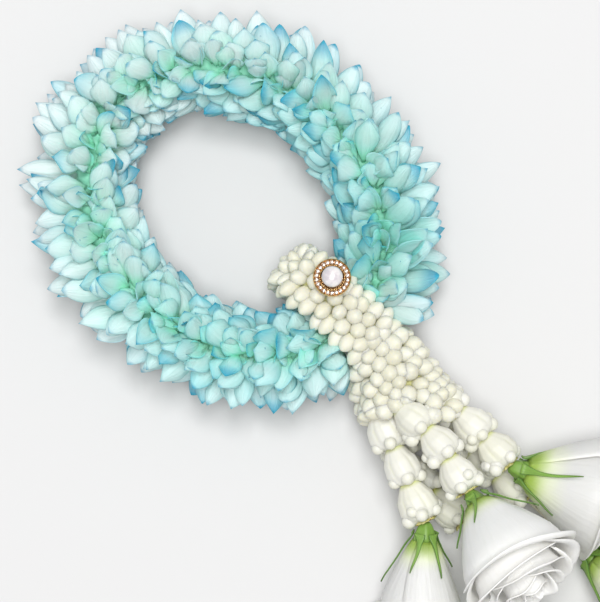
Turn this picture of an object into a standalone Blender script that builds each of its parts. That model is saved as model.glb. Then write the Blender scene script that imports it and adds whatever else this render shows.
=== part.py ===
"""Rose garland: a ring of dyed petals, a jasmine cuff and neck, and a tassel of crown flowers and roses.

The garland lies on a surface at z = 0. It is laid out with the tassel towards -Y, and moved at the end
so that the origin is under the middle of its box.
"""

import math
import random

import bmesh
import bpy
from mathutils import Matrix, Vector
from mathutils.bvhtree import BVHTree

MM = 0.001
CLEARANCE = 0.4 * MM
WELD = 0.002 * MM
SCREW_MERGE = 0.01 * MM
SHARP_ANGLE = math.radians(40.0)
FLOOR = 0.0
UP = Vector((0.0, 0.0, 1.0))

# Petal ring: an ellipse of threaded petals
RING_CENTRE = Vector((-1.0, -3.0, 20.0)) * MM
RING_HALF_LENGTH = 63.0 * MM
RING_HALF_WIDTH = 51.0 * MM
RING_SEGMENTS = 12
RING_STATIONS = 2
CORE_RADIUS = 8.4 * MM
WAIST_RADIUS = 6.8 * MM
WAIST_LENGTH = 12.0 * MM
THREAD_RADIUS = 0.6 * MM
BORE_RADIUS = 1.2 * MM

# Ring petals
PETAL_ROWS = 36
PETALS_PER_ROW = 7
PETAL_ROOT = 3.4 * MM
PETAL_REACH = 23.5 * MM
PETAL_REACH_OUTWARD = 4.5 * MM
PETAL_WIDTH = 14.4 * MM
PETAL_HALF_THICKNESS = 0.6 * MM
PETAL_CUP = 2.0 * MM
PETAL_BOW = 0.09
PETAL_BOW_ON_TOP = 0.04
PETAL_PRESS = 0.6 * MM
PETAL_CLEARANCE = 0.2 * MM
PETAL_LEAN = math.radians(26.0)
PETAL_LEAN_ON_TOP = math.radians(20.0)
PETAL_SEED = 7
PETAL_SCALES = (0.9, 1.04)
PETAL_POLAR_DRAW = 0.1
PETAL_LEAN_DRAW = 0.12
PETAL_WOBBLE_DRAW = 0.08
PETAL_TWIST_DRAW = 0.35
# A petal that would cross another piece is tried again shorter and more upright
PETAL_TRIES = 12
PETAL_SHORTER = 0.94
PETAL_UPRIGHT = 0.8

# Jasmine cuff: a half-round strip that loops round the ring's join
CUFF_BACK_RADIUS = 9.8 * MM
CUFF_HALF_WIDTH = 7.0 * MM
CUFF_CORE_DEPTH = 5.0 * MM
CUFF_OUTER_END = -75.6 * MM
CUFF_BEND = -47.0 * MM
CUFF_DRIFT = 5.0 * MM
CUFF_DRIFT_FROM = -50.0 * MM
CUFF_DRIFT_RUN = 24.0 * MM
# Angles of the buds across the strip, in the two kinds of row that take turns along it
CUFF_ROWS = ((-44.0, 0.0, 44.0), (-66.0, -22.0, 22.0, 66.0))
CUFF_EDGE_ANGLE = math.radians(60.0)
CUFF_EDGE_RAISE = 1.9 * MM

# Jasmine buds, on the cuff and on the neck
BUD_LENGTH = 10.0 * MM
BUD_RADIUS = 3.8 * MM
BUD_SPACING = 7.0 * MM
BUD_SINK = 4.6 * MM

# Neck: widens from the cuff to the tassel, as (x, y, z, half width, half height)
NECK_SECTIONS = (
    (-1.0, -76.0, 20.0, 9.0, 12.6),
    (-4.6, -84.5, 19.4, 11.4, 13.4),
    (-8.0, -93.0, 18.8, 13.6, 13.9),
    (-11.5, -101.0, 18.4, 15.2, 13.9),
)
NECK_BUD_ROWS = 4
NECK_BUD_SPACING = 9.52 * MM
NECK_BORE = 2.3 * MM
NECK_BORE_DEPTH = 9.0 * MM
STRAND_BORE_DEPTH = 7.0 * MM
BORE_OVERRUN = 3.0 * MM

# Tie: a thread out of the neck, once round the ring's join and back
TIE_SLACK = 0.5 * MM
TIE_HALF_PITCH = 1.15 * MM
TIE_SWEEP = 0.94 * math.pi
TIE_STEPS = 12
TIE_END_GAP = 1.5 * MM

# Brooch on the cuff, which sits on the buds under it
BROOCH = Vector((4.4, -49.0)) * MM
BROOCH_GAP = 0.3 * MM
PEARL_PLAY = 0.35 * MM
CRYSTAL_PLAY = 0.25 * MM
BROOCH_RADIUS = 7.5 * MM
BROOCH_HEIGHT = 2.3 * MM
BROOCH_FLOOR = 0.9 * MM
BROOCH_WALL = 0.8 * MM
BROOCH_PIN_OFFSET = 3.4 * MM
BROOCH_PIN_LENGTH = 7.0 * MM
BROOCH_PIN_RADIUS = 0.5 * MM
CRYSTALS = 22
CRYSTAL_HEIGHT = 1.4 * MM
PEARL_RADIUS = 4.2 * MM
PEARL_FLATNESS = 0.72

# Crown flowers and roses
FLOWER_LENGTH = 15.0 * MM
FLOWER_GAP = 0.9 * MM
FLOWER_RADIUS = 7.6 * MM
# A flower's outline as parts of its radius and of its half length, from its narrow top to its knobs
FLOWER_OUTLINE = ((0.46, -1.0), (1.0, 0.35), (0.62, 1.0))
FLOWER_FLUTE = 0.12
HIP_LENGTH = 5.6 * MM
HIP_RADIUS = 4.6 * MM
ROSE_LENGTH = 46.0 * MM
# A half-open rose's outline: heights along it, and the radius there as a part of its widest
ROSE_OUTLINE = ((0.0, 0.2), (0.1, 0.36), (0.25, 0.55), (0.4, 0.73), (0.55, 0.88), (0.72, 0.98), (1.0, 0.92))
ROSE_PETAL_FROM = 0.12
ROSE_PETAL_SINK = 0.8 * MM
ROSE_PETAL_SKIN = 2.1 * MM
ROSE_LIP = 0.5
# Each layer's petals: how many, turned by, half angle, height of the lip, and how far in
ROSE_LAYERS = ((5, 0.0, 0.71, 0.98, 0.0), (3, 0.7, 0.9, 1.05, 0.24))
SEPALS = 5
SEPAL_LENGTH = 24.0 * MM
SEPAL_SHORTEST = 8.0 * MM
SEPAL_SHORTER = 0.85
SEPAL_ROOT = 2.6 * MM
SEPAL_HALF_WIDTH = 1.9 * MM
SEPAL_HALF_THICKNESS = 0.6 * MM
SEPAL_CLEARANCE = 0.15 * MM
# A sepal's middle lies this far outside the bloom at the hip, and further at its tip
SEPAL_STANDOFF = 2.9 * MM
SEPAL_SPREAD = 1.5 * MM

# Strands of the tassel: where each leaves the neck, the middles of its flowers, and how its rose lies.
# A hip is given where a bare length of thread leads to it, and follows the last flower otherwise.
STRANDS = {
    "a": {
        "exit": (-19.6, -98.0, 22.0),
        "flowers": ((-25.5, -105.5, 22.5), (-32.0, -119.0, 22.5), (-38.6, -133.6, 22.5)),
        "rose": (-0.776, -0.632, -0.17),
        "radius": 18.6,
    },
    "b": {
        "exit": (-12.6, -100.6, 26.5),
        "flowers": ((-15.2, -109.6, 32.5), (-15.0, -123.4, 34.5), (-19.4, -137.2, 35.0)),
        "rose": (-0.217, -0.874, 0.5),
        "radius": 24.0,
    },
    "c": {
        "exit": (-3.4, -104.0, 22.0),
        "flowers": ((-1.8, -114.6, 22.0), (-1.2, -129.2, 22.0), (-3.1, -143.4, 22.0)),
        "rose": (0.5, -0.866, -0.12),
        "radius": 20.0,
    },
    "d": {
        "exit": (-8.0, -102.4, 11.0),
        "flowers": ((-9.0, -113.8, 8.0), (-9.6, -129.2, 7.6), (-9.8, -144.2, 7.6), (-9.2, -159.2, 7.6)),
        "hip": (-9.4, -198.0, 6.0),
        "rose": (0.08, -0.86, 0.31),
        "radius": 21.0,
    },
    "e": {
        "exit": (-16.4, -99.2, 11.0),
        "flowers": ((-24.5, -111.5, 8.0), (-34.0, -127.0, 7.6), (-32.5, -145.5, 7.6)),
        "hip": (-52.0, -177.0, 6.0),
        "rose": (0.04, -0.84, 0.24),
        "radius": 18.6,
    },
}


def clear_scene():
    for obj in list(bpy.data.objects):
        bpy.data.objects.remove(obj)


def new_collection(name):
    collection = bpy.data.collections.new(name)
    bpy.context.scene.collection.children.link(collection)
    return collection


def plain_material(name, colour, roughness, metallic=0.0, transmission=0.0):
    material = bpy.data.materials.new(name)
    material.use_nodes = True
    shader = material.node_tree.nodes["Principled BSDF"]
    shader.inputs["Base Color"].default_value = (*colour, 1.0)
    shader.inputs["Roughness"].default_value = roughness
    shader.inputs["Metallic"].default_value = metallic
    shader.inputs["Transmission Weight"].default_value = transmission
    return material


def mesh_of(bm, name):
    """The bmesh as a mesh with its faces pointing out."""
    bmesh.ops.recalc_face_normals(bm, faces=bm.faces)
    if bm.calc_volume(signed=True) < 0.0:
        bmesh.ops.reverse_faces(bm, faces=bm.faces)
    mesh = bpy.data.meshes.new(name)
    bm.to_mesh(mesh)
    bm.free()
    return mesh


def evaluated_mesh(obj):
    """The mesh of an object with its modifiers applied, its points welded."""
    bpy.context.view_layer.update()
    graph = bpy.context.evaluated_depsgraph_get()
    mesh = bpy.data.meshes.new_from_object(obj.evaluated_get(graph))
    bm = bmesh.new()
    bm.from_mesh(mesh)
    bmesh.ops.remove_doubles(bm, verts=bm.verts, dist=WELD)
    bm.to_mesh(mesh)
    bm.free()
    return mesh


def add_part(name, mesh, collection, material):
    """A finished sub-part: one object, shaded smooth, with its own material."""
    mesh.name = name
    mesh.materials.clear()
    mesh.materials.append(material)
    mesh.shade_smooth()
    mesh.set_sharp_from_angle(angle=SHARP_ANGLE)
    part = bpy.data.objects.new(name, mesh)
    collection.objects.link(part)
    return part


def is_closed(mesh):
    """Whether each edge has just two faces."""
    bm = bmesh.new()
    bm.from_mesh(mesh)
    closed = all(edge.is_manifold for edge in bm.edges)
    bm.free()
    return closed


def united(core, repeats):
    """One solid of a core and the repeats that grow from it."""
    helpers = new_collection("repeats")
    for index, repeat in enumerate(repeats):
        helpers.objects.link(bpy.data.objects.new(f"repeat_{index}", repeat))
    body = bpy.data.objects.new("core", core)
    bpy.context.scene.collection.objects.link(body)
    join = body.modifiers.new("join", "BOOLEAN")
    join.operation = "UNION"
    join.operand_type = "COLLECTION"
    join.collection = helpers
    mesh = evaluated_mesh(body)
    if not is_closed(mesh):
        join.solver = "MANIFOLD"
        mesh = evaluated_mesh(body)
    bpy.data.objects.remove(body)
    for helper in list(helpers.objects):
        bpy.data.objects.remove(helper)
    bpy.data.collections.remove(helpers)
    return mesh


def bored(mesh, cutters):
    """The mesh with each cutter's space taken out of it."""
    body = bpy.data.objects.new("body", mesh)
    bpy.context.scene.collection.objects.link(body)
    helpers = []
    for index, cutter in enumerate(cutters):
        helper = bpy.data.objects.new(f"cutter_{index}", cutter)
        helper.hide_render = True
        helper.display_type = "WIRE"
        bpy.context.scene.collection.objects.link(helper)
        cut = body.modifiers.new(f"bore_{index}", "BOOLEAN")
        cut.operation = "DIFFERENCE"
        cut.object = helper
        helpers.append(helper)
    result = evaluated_mesh(body)
    if not is_closed(result):
        for cut in body.modifiers:
            cut.solver = "MANIFOLD"
        result = evaluated_mesh(body)
    for helper in [body, *helpers]:
        bpy.data.objects.remove(helper)
    return result


def tube(points, radius, radii=None, sides_step=1, closed=False):
    """A round tube along the points, as a closed mesh. Its sides number four and twice the step."""
    curve = bpy.data.curves.new("tube", "CURVE")
    curve.dimensions = "3D"
    curve.bevel_depth = radius
    curve.bevel_resolution = sides_step
    curve.use_fill_caps = not closed
    spline = curve.splines.new("POLY")
    spline.points.add(len(points) - 1)
    for index, point in enumerate(points):
        spline.points[index].co = (*point, 1.0)
        if radii:
            spline.points[index].radius = radii[index] / radius
    spline.use_cyclic_u = closed
    holder = bpy.data.objects.new("tube", curve)
    bpy.context.scene.collection.objects.link(holder)
    mesh = evaluated_mesh(holder)
    bpy.data.objects.remove(holder)
    return mesh


def turned(profile, steps):
    """A closed turned solid about Z, from (radius, height) points that run down its outer side."""
    mesh = bpy.data.meshes.new("turned")
    edges = [(i, i + 1) for i in range(len(profile) - 1)]
    if profile[0][0] > 0.0 and profile[-1][0] > 0.0:
        edges.append((len(profile) - 1, 0))
    mesh.from_pydata([(radius, 0.0, height) for radius, height in profile], edges, [])
    holder = bpy.data.objects.new("turned", mesh)
    bpy.context.scene.collection.objects.link(holder)
    screw = holder.modifiers.new("turn", "SCREW")
    screw.steps = steps
    screw.render_steps = steps
    screw.use_merge_vertices = True
    screw.merge_threshold = SCREW_MERGE
    result = evaluated_mesh(holder)
    bpy.data.objects.remove(holder)
    bm = bmesh.new()
    bm.from_mesh(result)
    bmesh.ops.recalc_face_normals(bm, faces=bm.faces)
    bm.to_mesh(result)
    bm.free()
    return result


def axes(direction, side_hint=UP):
    """A rotation whose Z is the direction and whose Y leans towards the hint."""
    z = Vector(direction).normalized()
    x = Vector(side_hint).cross(z)
    if x.length < 1e-6:
        x = Vector((1.0, 0.0, 0.0)).cross(z)
    x.normalize()
    y = z.cross(x)
    return Matrix((x, y, z)).transposed()


def placed(mesh, origin, rotation):
    mesh.transform(Matrix.Translation(origin) @ rotation.to_4x4())
    return mesh


def keep_above_floor(mesh):
    for vertex in mesh.vertices:
        vertex.co.z = max(vertex.co.z, FLOOR)
    return mesh


def pressed_flat(mesh):
    """The mesh with what lies under the floor cut away, which leaves small flat spots to rest on."""
    bm = bmesh.new()
    bm.from_mesh(mesh)
    geometry = bm.verts[:] + bm.edges[:] + bm.faces[:]
    bmesh.ops.bisect_plane(
        bm, geom=geometry, plane_co=(0.0, 0.0, FLOOR), plane_no=(0.0, 0.0, -1.0), clear_outer=True
    )
    rim = [edge for edge in bm.edges if edge.is_boundary]
    bmesh.ops.holes_fill(bm, edges=rim)
    for vertex in bm.verts:
        vertex.co.z = max(vertex.co.z, FLOOR)
    bm.to_mesh(mesh)
    bm.free()
    return mesh


def tree_of(mesh):
    return BVHTree.FromPolygons(
        [vertex.co.copy() for vertex in mesh.vertices], [tuple(face.vertices) for face in mesh.polygons]
    )


# Blades and buds, each a sphere drawn out by a formula


def blade_outline(u):
    """Half width of a petal at u along it, from 0 to about 1: narrow root, full shoulder, pointed tip."""
    return math.sin(math.pi * min(1.0, u) ** 1.35) ** 0.7 if 0.0 < u < 1.0 else 0.0


def petal_mesh(spec, grow=0.0):
    """One petal from its root: a cupped and bowed blade, thick at its rib. Grow makes it larger all round."""
    bm = bmesh.new()
    bmesh.ops.create_uvsphere(bm, u_segments=4, v_segments=3, radius=1.0)
    along, across, face = spec["along"], spec["across"], spec["face"]
    length = spec["length"] + grow
    for vertex in bm.verts:
        u = (math.acos(max(-1.0, min(1.0, -vertex.co.z))) / math.pi) ** 0.79
        ring = math.hypot(vertex.co.x, vertex.co.y)
        side = vertex.co.x / ring if ring > 1e-6 else 0.0
        skin = vertex.co.y / ring if ring > 1e-6 else 0.0
        wide = (0.5 * spec["width"] + grow) * blade_outline(u)
        lift = spec["bow"] * length * math.sin(math.pi * u) - PETAL_CUP * side * side * math.sin(math.pi * u)
        point = spec["root"] + along * (length * u) + across * (side * wide)
        point += face * (lift + skin * (PETAL_HALF_THICKNESS + grow))
        above = (1.0 + skin) * PETAL_HALF_THICKNESS if ring > 1e-6 else 0.0
        point.z = max(point.z, FLOOR + above)
        vertex.co = point
    return mesh_of(bm, "petal")


def bud_mesh(origin, direction, length=BUD_LENGTH, radius=BUD_RADIUS):
    """A jasmine bud standing on its narrow root: an oval with its widest part near the tip."""
    bm = bmesh.new()
    bmesh.ops.create_uvsphere(bm, u_segments=5, v_segments=3, radius=1.0)
    for vertex in bm.verts:
        u = math.acos(max(-1.0, min(1.0, -vertex.co.z))) / math.pi
        flare = 0.8 + 0.55 * u
        vertex.co = Vector((vertex.co.x * radius * flare, vertex.co.y * radius * flare, length * u))
    mesh = mesh_of(bm, "bud")
    return placed(mesh, origin, axes(direction))


# Petal ring


def ring_point(turn):
    """The ring's core line. Turn runs clockwise seen from above, from 0 at the join."""
    return RING_CENTRE + Vector((-RING_HALF_WIDTH * math.sin(turn), -RING_HALF_LENGTH * math.cos(turn), 0.0))


def ring_axes(turn):
    """The core line's direction and the level outward direction at this turn."""
    along = Vector((-RING_HALF_WIDTH * math.cos(turn), RING_HALF_LENGTH * math.sin(turn), 0.0)).normalized()
    return along, UP.cross(along)


def ring_turns(count):
    """Turns that part the core line into this many equal lengths."""
    fine = 1440
    lengths = [0.0]
    for index in range(fine):
        step = ring_point(math.tau * (index + 1) / fine) - ring_point(math.tau * index / fine)
        lengths.append(lengths[-1] + step.length)
    turns, index = [], 0
    for number in range(count):
        target = lengths[-1] * number / count
        while lengths[index + 1] < target:
            index += 1
        part = (target - lengths[index]) / (lengths[index + 1] - lengths[index])
        turns.append(math.tau * (index + part) / fine)
    return turns


def waisted_radius(point):
    """The packed roots are thinner where the join is tied."""
    near = abs(point.x - RING_CENTRE.x) if point.y < RING_CENTRE.y else WAIST_LENGTH
    blend = min(1.0, near / WAIST_LENGTH)
    return WAIST_RADIUS + (CORE_RADIUS - WAIST_RADIUS) * blend


def segment_core(turns, segment):
    """The packed petal roots of one length of the ring, cut square to the core line at both ends."""
    first = segment * RING_STATIONS
    stations = [first + offset for offset in range(-1, RING_STATIONS + 2)]
    points = [ring_point(turns[station % len(turns)]) for station in stations]
    mesh = tube(points, CORE_RADIUS, [waisted_radius(point) for point in points], sides_step=2)
    bm = bmesh.new()
    bm.from_mesh(mesh)
    for station, sense in ((first, -1.0), (first + RING_STATIONS, 1.0)):
        turn = turns[station % len(turns)]
        along = ring_axes(turn)[0]
        cut = ring_point(turn) - along * (sense * 0.5 * CLEARANCE)
        geometry = bm.verts[:] + bm.edges[:] + bm.faces[:]
        bmesh.ops.bisect_plane(bm, geom=geometry, plane_co=cut, plane_no=along * sense, clear_outer=True)
        rim = [edge for edge in bm.edges if edge.is_boundary]
        bmesh.ops.holes_fill(bm, edges=rim)
    return mesh_of(bm, "segment")


def petal_spec(turn, polar, scale, lean, wobble, twist):
    """Where one petal of the ring grows and how it lies. Polar is 0 outward, 90 degrees on top."""
    along, outward = ring_axes(turn)
    radial = outward * math.cos(polar) + UP * math.sin(polar)
    reach = (PETAL_REACH + PETAL_REACH_OUTWARD * math.cos(polar)) * scale
    axis = (radial * math.cos(lean) + along * math.sin(lean)).normalized()
    length = (reach - PETAL_ROOT) / math.cos(lean)
    root = ring_point(turn) + radial * PETAL_ROOT
    room = root.z - FLOOR + PETAL_PRESS
    if axis.z * length < -room:
        length = -room / axis.z
    across = (along * math.cos(lean) - radial * math.sin(lean)).normalized()
    face = axis.cross(across).normalized()
    if face.z < 0.0:
        face = -face
        across = -across
    roll = Matrix.Rotation(twist, 3, axis)
    return {
        "root": root,
        "along": (axis + UP * wobble).normalized(),
        "across": roll @ across,
        "face": roll @ face,
        "length": length,
        "width": PETAL_WIDTH * (0.85 + 0.15 * scale),
        "bow": PETAL_BOW if abs(math.cos(polar)) > 0.3 else PETAL_BOW_ON_TOP,
    }


def ring_petals(turns_per_row, obstacles, cores):
    """Each segment's petals, row by row, kept off the other segments and off what the ring carries."""
    draw = random.Random(PETAL_SEED)
    petals = [[] for _ in range(RING_SEGMENTS)]
    fat = [[] for _ in range(RING_SEGMENTS)]

    def around(reach):
        return draw.uniform(-reach, reach)

    for row, turn in enumerate(turns_per_row):
        segment = row * RING_SEGMENTS // PETAL_ROWS
        others = [segment - 1, (segment + 1) % RING_SEGMENTS]
        for number in range(PETALS_PER_ROW):
            polar = math.tau * (number + 0.5 * (row % 2)) / PETALS_PER_ROW + around(PETAL_POLAR_DRAW)
            lean = PETAL_LEAN + PETAL_LEAN_ON_TOP * max(0.0, math.sin(polar)) + around(PETAL_LEAN_DRAW)
            scale = draw.uniform(*PETAL_SCALES)
            wobble = around(PETAL_WOBBLE_DRAW)
            twist = around(PETAL_TWIST_DRAW)
            for _ in range(PETAL_TRIES):
                spec = petal_spec(turn, polar, scale, lean, wobble, twist)
                trial = tree_of(petal_mesh(spec, grow=PETAL_CLEARANCE))
                walls = obstacles + [cores[index] for index in others] + fat[others[0]] + fat[others[1]]
                if not any(trial.overlap(wall) for wall in walls):
                    break
                scale *= PETAL_SHORTER
                lean *= PETAL_UPRIGHT
            else:
                continue
            petals[segment].append(petal_mesh(spec))
            fat[segment].append(trial)
    return petals


# Jasmine cuff


def cuff_drift(y):
    """The cuff's sideways place at y: it drifts over a little towards its free bend."""
    past = max(0.0, (y - CUFF_DRIFT_FROM) / CUFF_DRIFT_RUN)
    return RING_CENTRE.x - CUFF_DRIFT * past * past


def cuff_point(s):
    """A point on the strip's flat back and its outward direction, at s along it from its top outer end."""
    arm = CUFF_BEND - CUFF_OUTER_END
    bend = math.pi * CUFF_BACK_RADIUS
    if s < arm:
        y, z, outward = CUFF_OUTER_END + s, CUFF_BACK_RADIUS, Vector((0.0, 0.0, 1.0))
    elif s < arm + bend:
        angle = (s - arm) / CUFF_BACK_RADIUS
        outward = Vector((0.0, math.sin(angle), math.cos(angle)))
        y, z = CUFF_BEND + CUFF_BACK_RADIUS * outward.y, CUFF_BACK_RADIUS * outward.z
    else:
        y, z, outward = CUFF_BEND - (s - arm - bend), -CUFF_BACK_RADIUS, Vector((0.0, 0.0, -1.0))
    return Vector((cuff_drift(y), y, RING_CENTRE.z + z)), outward


def loft(sections):
    """A closed solid through like sections, each a loop of points."""
    bm = bmesh.new()
    loops = [[bm.verts.new(point) for point in section] for section in sections]
    for lower, upper in zip(loops, loops[1:]):
        for index in range(len(lower)):
            after = (index + 1) % len(lower)
            bm.faces.new((lower[index], lower[after], upper[after], upper[index]))
    bm.faces.new(loops[0][::-1])
    bm.faces.new(loops[-1])
    return mesh_of(bm, "loft")


def cuff_section(s, sides=6):
    """A half round section of the strip, flat on the side that lies against the ring."""
    point, outward = cuff_point(s)
    section = []
    for index in range(sides + 1):
        angle = math.pi * index / sides
        across = Vector((CUFF_HALF_WIDTH * math.cos(angle), 0.0, 0.0))
        section.append(point + across + outward * (CUFF_CORE_DEPTH * math.sin(angle)))
    return section


def cuff_buds(start, end):
    """Buds in staggered rows over the strip between two places along it."""
    rows = max(1, round((end - start) / BUD_SPACING))
    buds = []
    for row in range(rows):
        s = start + (end - start) * (row + 0.5) / rows
        point, outward = cuff_point(s)
        for angle in map(math.radians, CUFF_ROWS[row % 2]):
            direction = outward * math.cos(angle) + Vector((math.sin(angle), 0.0, 0.0))
            skin = point + Vector((CUFF_HALF_WIDTH * math.sin(angle), 0.0, 0.0))
            skin += outward * (CUFF_CORE_DEPTH * math.cos(angle))
            origin = skin - direction * BUD_SINK
            if abs(angle) > CUFF_EDGE_ANGLE:
                origin += outward * CUFF_EDGE_RAISE
            buds.append(bud_mesh(origin, direction))
    return buds


def cuff_piece(start, end, spans):
    """One length of the strip with its buds."""
    sections = [cuff_section(start + (end - start) * index / spans) for index in range(spans + 1)]
    return keep_above_floor(united(loft(sections), cuff_buds(start, end)))


def cuff_lengths():
    """Where the strip's top arm, its bend and its lower arm end, along the loop."""
    arm = CUFF_BEND - CUFF_OUTER_END
    bend = math.pi * CUFF_BACK_RADIUS
    return arm, arm + bend, arm + bend + arm


# Neck


def neck_frame(t):
    """Centre, half width, half height and sideways direction of the neck at t, from 0 to 1."""
    place = t * (len(NECK_SECTIONS) - 1)
    index = min(int(place), len(NECK_SECTIONS) - 2)
    part = place - index
    low, high = NECK_SECTIONS[index], NECK_SECTIONS[index + 1]
    x, y, z, wide, tall = (a + (b - a) * part for a, b in zip(low, high))
    heading = Vector((high[0] - low[0], high[1] - low[1], 0.0)).normalized()
    if index == 0:
        heading = (heading * part + Vector((0.0, -1.0, 0.0)) * (1.0 - part)).normalized()
    side = heading.cross(UP)
    return Vector((x, y, z)) * MM, wide * MM, tall * MM, side, heading


def neck_section(t, sides=10):
    """The neck's oval core at t."""
    centre, wide, tall, side, _ = neck_frame(t)
    section = []
    for index in range(sides):
        angle = math.tau * index / sides
        section.append(centre + side * (wide * math.cos(angle)) + UP * (tall * math.sin(angle)))
    return section


def neck_buds():
    """Buds in rings round the neck, each ring turned half a bud from the last."""
    buds = []
    for row in range(NECK_BUD_ROWS):
        centre, wide, tall, side, heading = neck_frame((row + 0.5) / NECK_BUD_ROWS)
        girth = math.pi * (wide + tall + 1.2 * (BUD_LENGTH - BUD_SINK))
        count = int(girth / NECK_BUD_SPACING)
        for number in range(count):
            angle = math.tau * (number + 0.5 * (row % 2)) / count
            skin = centre + side * (wide * math.cos(angle)) + UP * (tall * math.sin(angle))
            direction = side * (math.cos(angle) / wide) + UP * (math.sin(angle) / tall)
            direction.normalize()
            buds.append(bud_mesh(skin - direction * BUD_SINK, direction + heading * 0.12))
    return buds


def neck_mesh():
    """The neck with its buds, bored for the tie at one end and for each strand at the other."""
    core = loft([neck_section(t) for t in (0.0, 1.0 / 3.0, 2.0 / 3.0, 1.0)])
    body = united(core, neck_buds())
    start = neck_frame(0.0)[0]
    heading = neck_frame(1.0)[4]
    inward = Vector((0.0, -1.0, 0.0))
    ends = [start - inward * BORE_OVERRUN, start + inward * NECK_BORE_DEPTH]
    cutters = [tube(ends, NECK_BORE, sides_step=2)]
    for strand in STRANDS.values():
        mouth = Vector(strand["exit"]) * MM
        ends = [mouth + heading * BORE_OVERRUN, mouth - heading * STRAND_BORE_DEPTH]
        cutters.append(tube(ends, BORE_RADIUS))
    return pressed_flat(bored(body, cutters))


def tie_points():
    """The tie: out of the neck, once round the ring's join, and back into the neck beside itself."""
    radius = WAIST_RADIUS + CLEARANCE + THREAD_RADIUS + TIE_SLACK
    join = ring_point(0.0)
    inside = NECK_SECTIONS[0][1] * MM - NECK_BORE_DEPTH + TIE_END_GAP
    points = [Vector((join.x - TIE_HALF_PITCH, inside, join.z))]
    for index in range(TIE_STEPS + 1):
        part = 2.0 * index / TIE_STEPS - 1.0
        angle = TIE_SWEEP * part
        x = join.x + TIE_HALF_PITCH * part
        points.append(Vector((x, join.y + radius * math.cos(angle), join.z - radius * math.sin(angle))))
    points.append(Vector((join.x + TIE_HALF_PITCH, inside, join.z)))
    return points


# Brooch


def brooch_seat(cuff_top):
    """Height of the highest buds under the brooch."""
    near = [v.co.z for v in cuff_top.vertices if (v.co.xy - BROOCH).length < BROOCH_RADIUS]
    return max(near) + CLEARANCE


def brooch_pin_place(seat):
    return Vector((BROOCH.x - BROOCH_PIN_OFFSET, BROOCH.y, seat))


def brooch_parts(collection, seat, materials):
    """A gold cup with a rim, a crown of clear stones, a pearl, and the pin that holds it in the cuff."""
    at = Vector((BROOCH.x, BROOCH.y, seat))
    bed = BROOCH_RADIUS - BROOCH_WALL
    inner = PEARL_RADIUS + PEARL_PLAY
    profile = [
        (0.0, BROOCH_FLOOR),
        (inner, BROOCH_FLOOR),
        (inner, BROOCH_HEIGHT),
        (inner + BROOCH_WALL, BROOCH_HEIGHT),
        (inner + BROOCH_WALL, BROOCH_FLOOR),
        (bed, BROOCH_FLOOR),
        (bed, BROOCH_HEIGHT),
        (BROOCH_RADIUS, BROOCH_HEIGHT),
        (BROOCH_RADIUS - BROOCH_WALL, 0.0),
        (0.0, 0.0),
    ]
    cup = placed(turned(profile, 12), at, Matrix.Identity(3))
    add_part("brooch_cup", cup, collection, materials["gold"])
    top = brooch_pin_place(seat) - UP * BROOCH_GAP
    pin = tube([top, top - UP * BROOCH_PIN_LENGTH], BROOCH_PIN_RADIUS)
    add_part("brooch_pin", pin, collection, materials["steel"])
    middle = 0.5 * (inner + BROOCH_WALL + bed)
    half = 0.5 * (bed - inner - BROOCH_WALL) - CRYSTAL_PLAY
    low = BROOCH_FLOOR + BROOCH_GAP
    ridge = [(middle, low + CRYSTAL_HEIGHT), (middle + half, low), (middle - half, low)]
    stones = turned(ridge, 2 * CRYSTALS)
    for vertex in stones.vertices:
        if vertex.co.z > low + 0.5 * CRYSTAL_HEIGHT:
            wave = math.cos(CRYSTALS * math.atan2(vertex.co.y, vertex.co.x))
            vertex.co.z = low + CRYSTAL_HEIGHT * (0.7 + 0.3 * wave)
    add_part("brooch_stones", placed(stones, at, Matrix.Identity(3)), collection, materials["glass"])
    bm = bmesh.new()
    bmesh.ops.create_uvsphere(bm, u_segments=9, v_segments=5, radius=PEARL_RADIUS)
    for vertex in bm.verts:
        vertex.co.z *= PEARL_FLATNESS
    lift = BROOCH_FLOOR + BROOCH_GAP + PEARL_FLATNESS * PEARL_RADIUS
    pearl = placed(mesh_of(bm, "pearl"), at + UP * lift, Matrix.Identity(3))
    add_part("brooch_pearl", pearl, collection, materials["pearl"])


# Crown flowers, hips and roses


def flower_mesh(centre, direction, length):
    """A crown flower threaded on its strand: five flutes that swell from a narrow top to round knobs."""
    half = 0.5 * length
    outline = [(FLOWER_RADIUS * radius, half * height) for radius, height in FLOWER_OUTLINE]
    mesh = turned([(BORE_RADIUS, half), *outline[::-1], (BORE_RADIUS, -half)], 10)
    for vertex in mesh.vertices:
        radius = math.hypot(vertex.co.x, vertex.co.y)
        if radius > 2.0 * BORE_RADIUS:
            angle = math.atan2(vertex.co.y, vertex.co.x)
            swell = 1.0 + FLOWER_FLUTE * math.cos(5.0 * angle)
            vertex.co.x *= swell
            vertex.co.y *= swell
    return placed(mesh, centre, axes(direction))


def rose_radius(u, widest):
    """Radius of a half-open rose at u along it: a cone from a small base to a full, open mouth."""
    for (low, low_radius), (high, high_radius) in zip(ROSE_OUTLINE, ROSE_OUTLINE[1:]):
        if u <= high:
            return widest * (low_radius + (high_radius - low_radius) * (u - low) / (high - low))
    return widest * ROSE_OUTLINE[-1][1]


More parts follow.
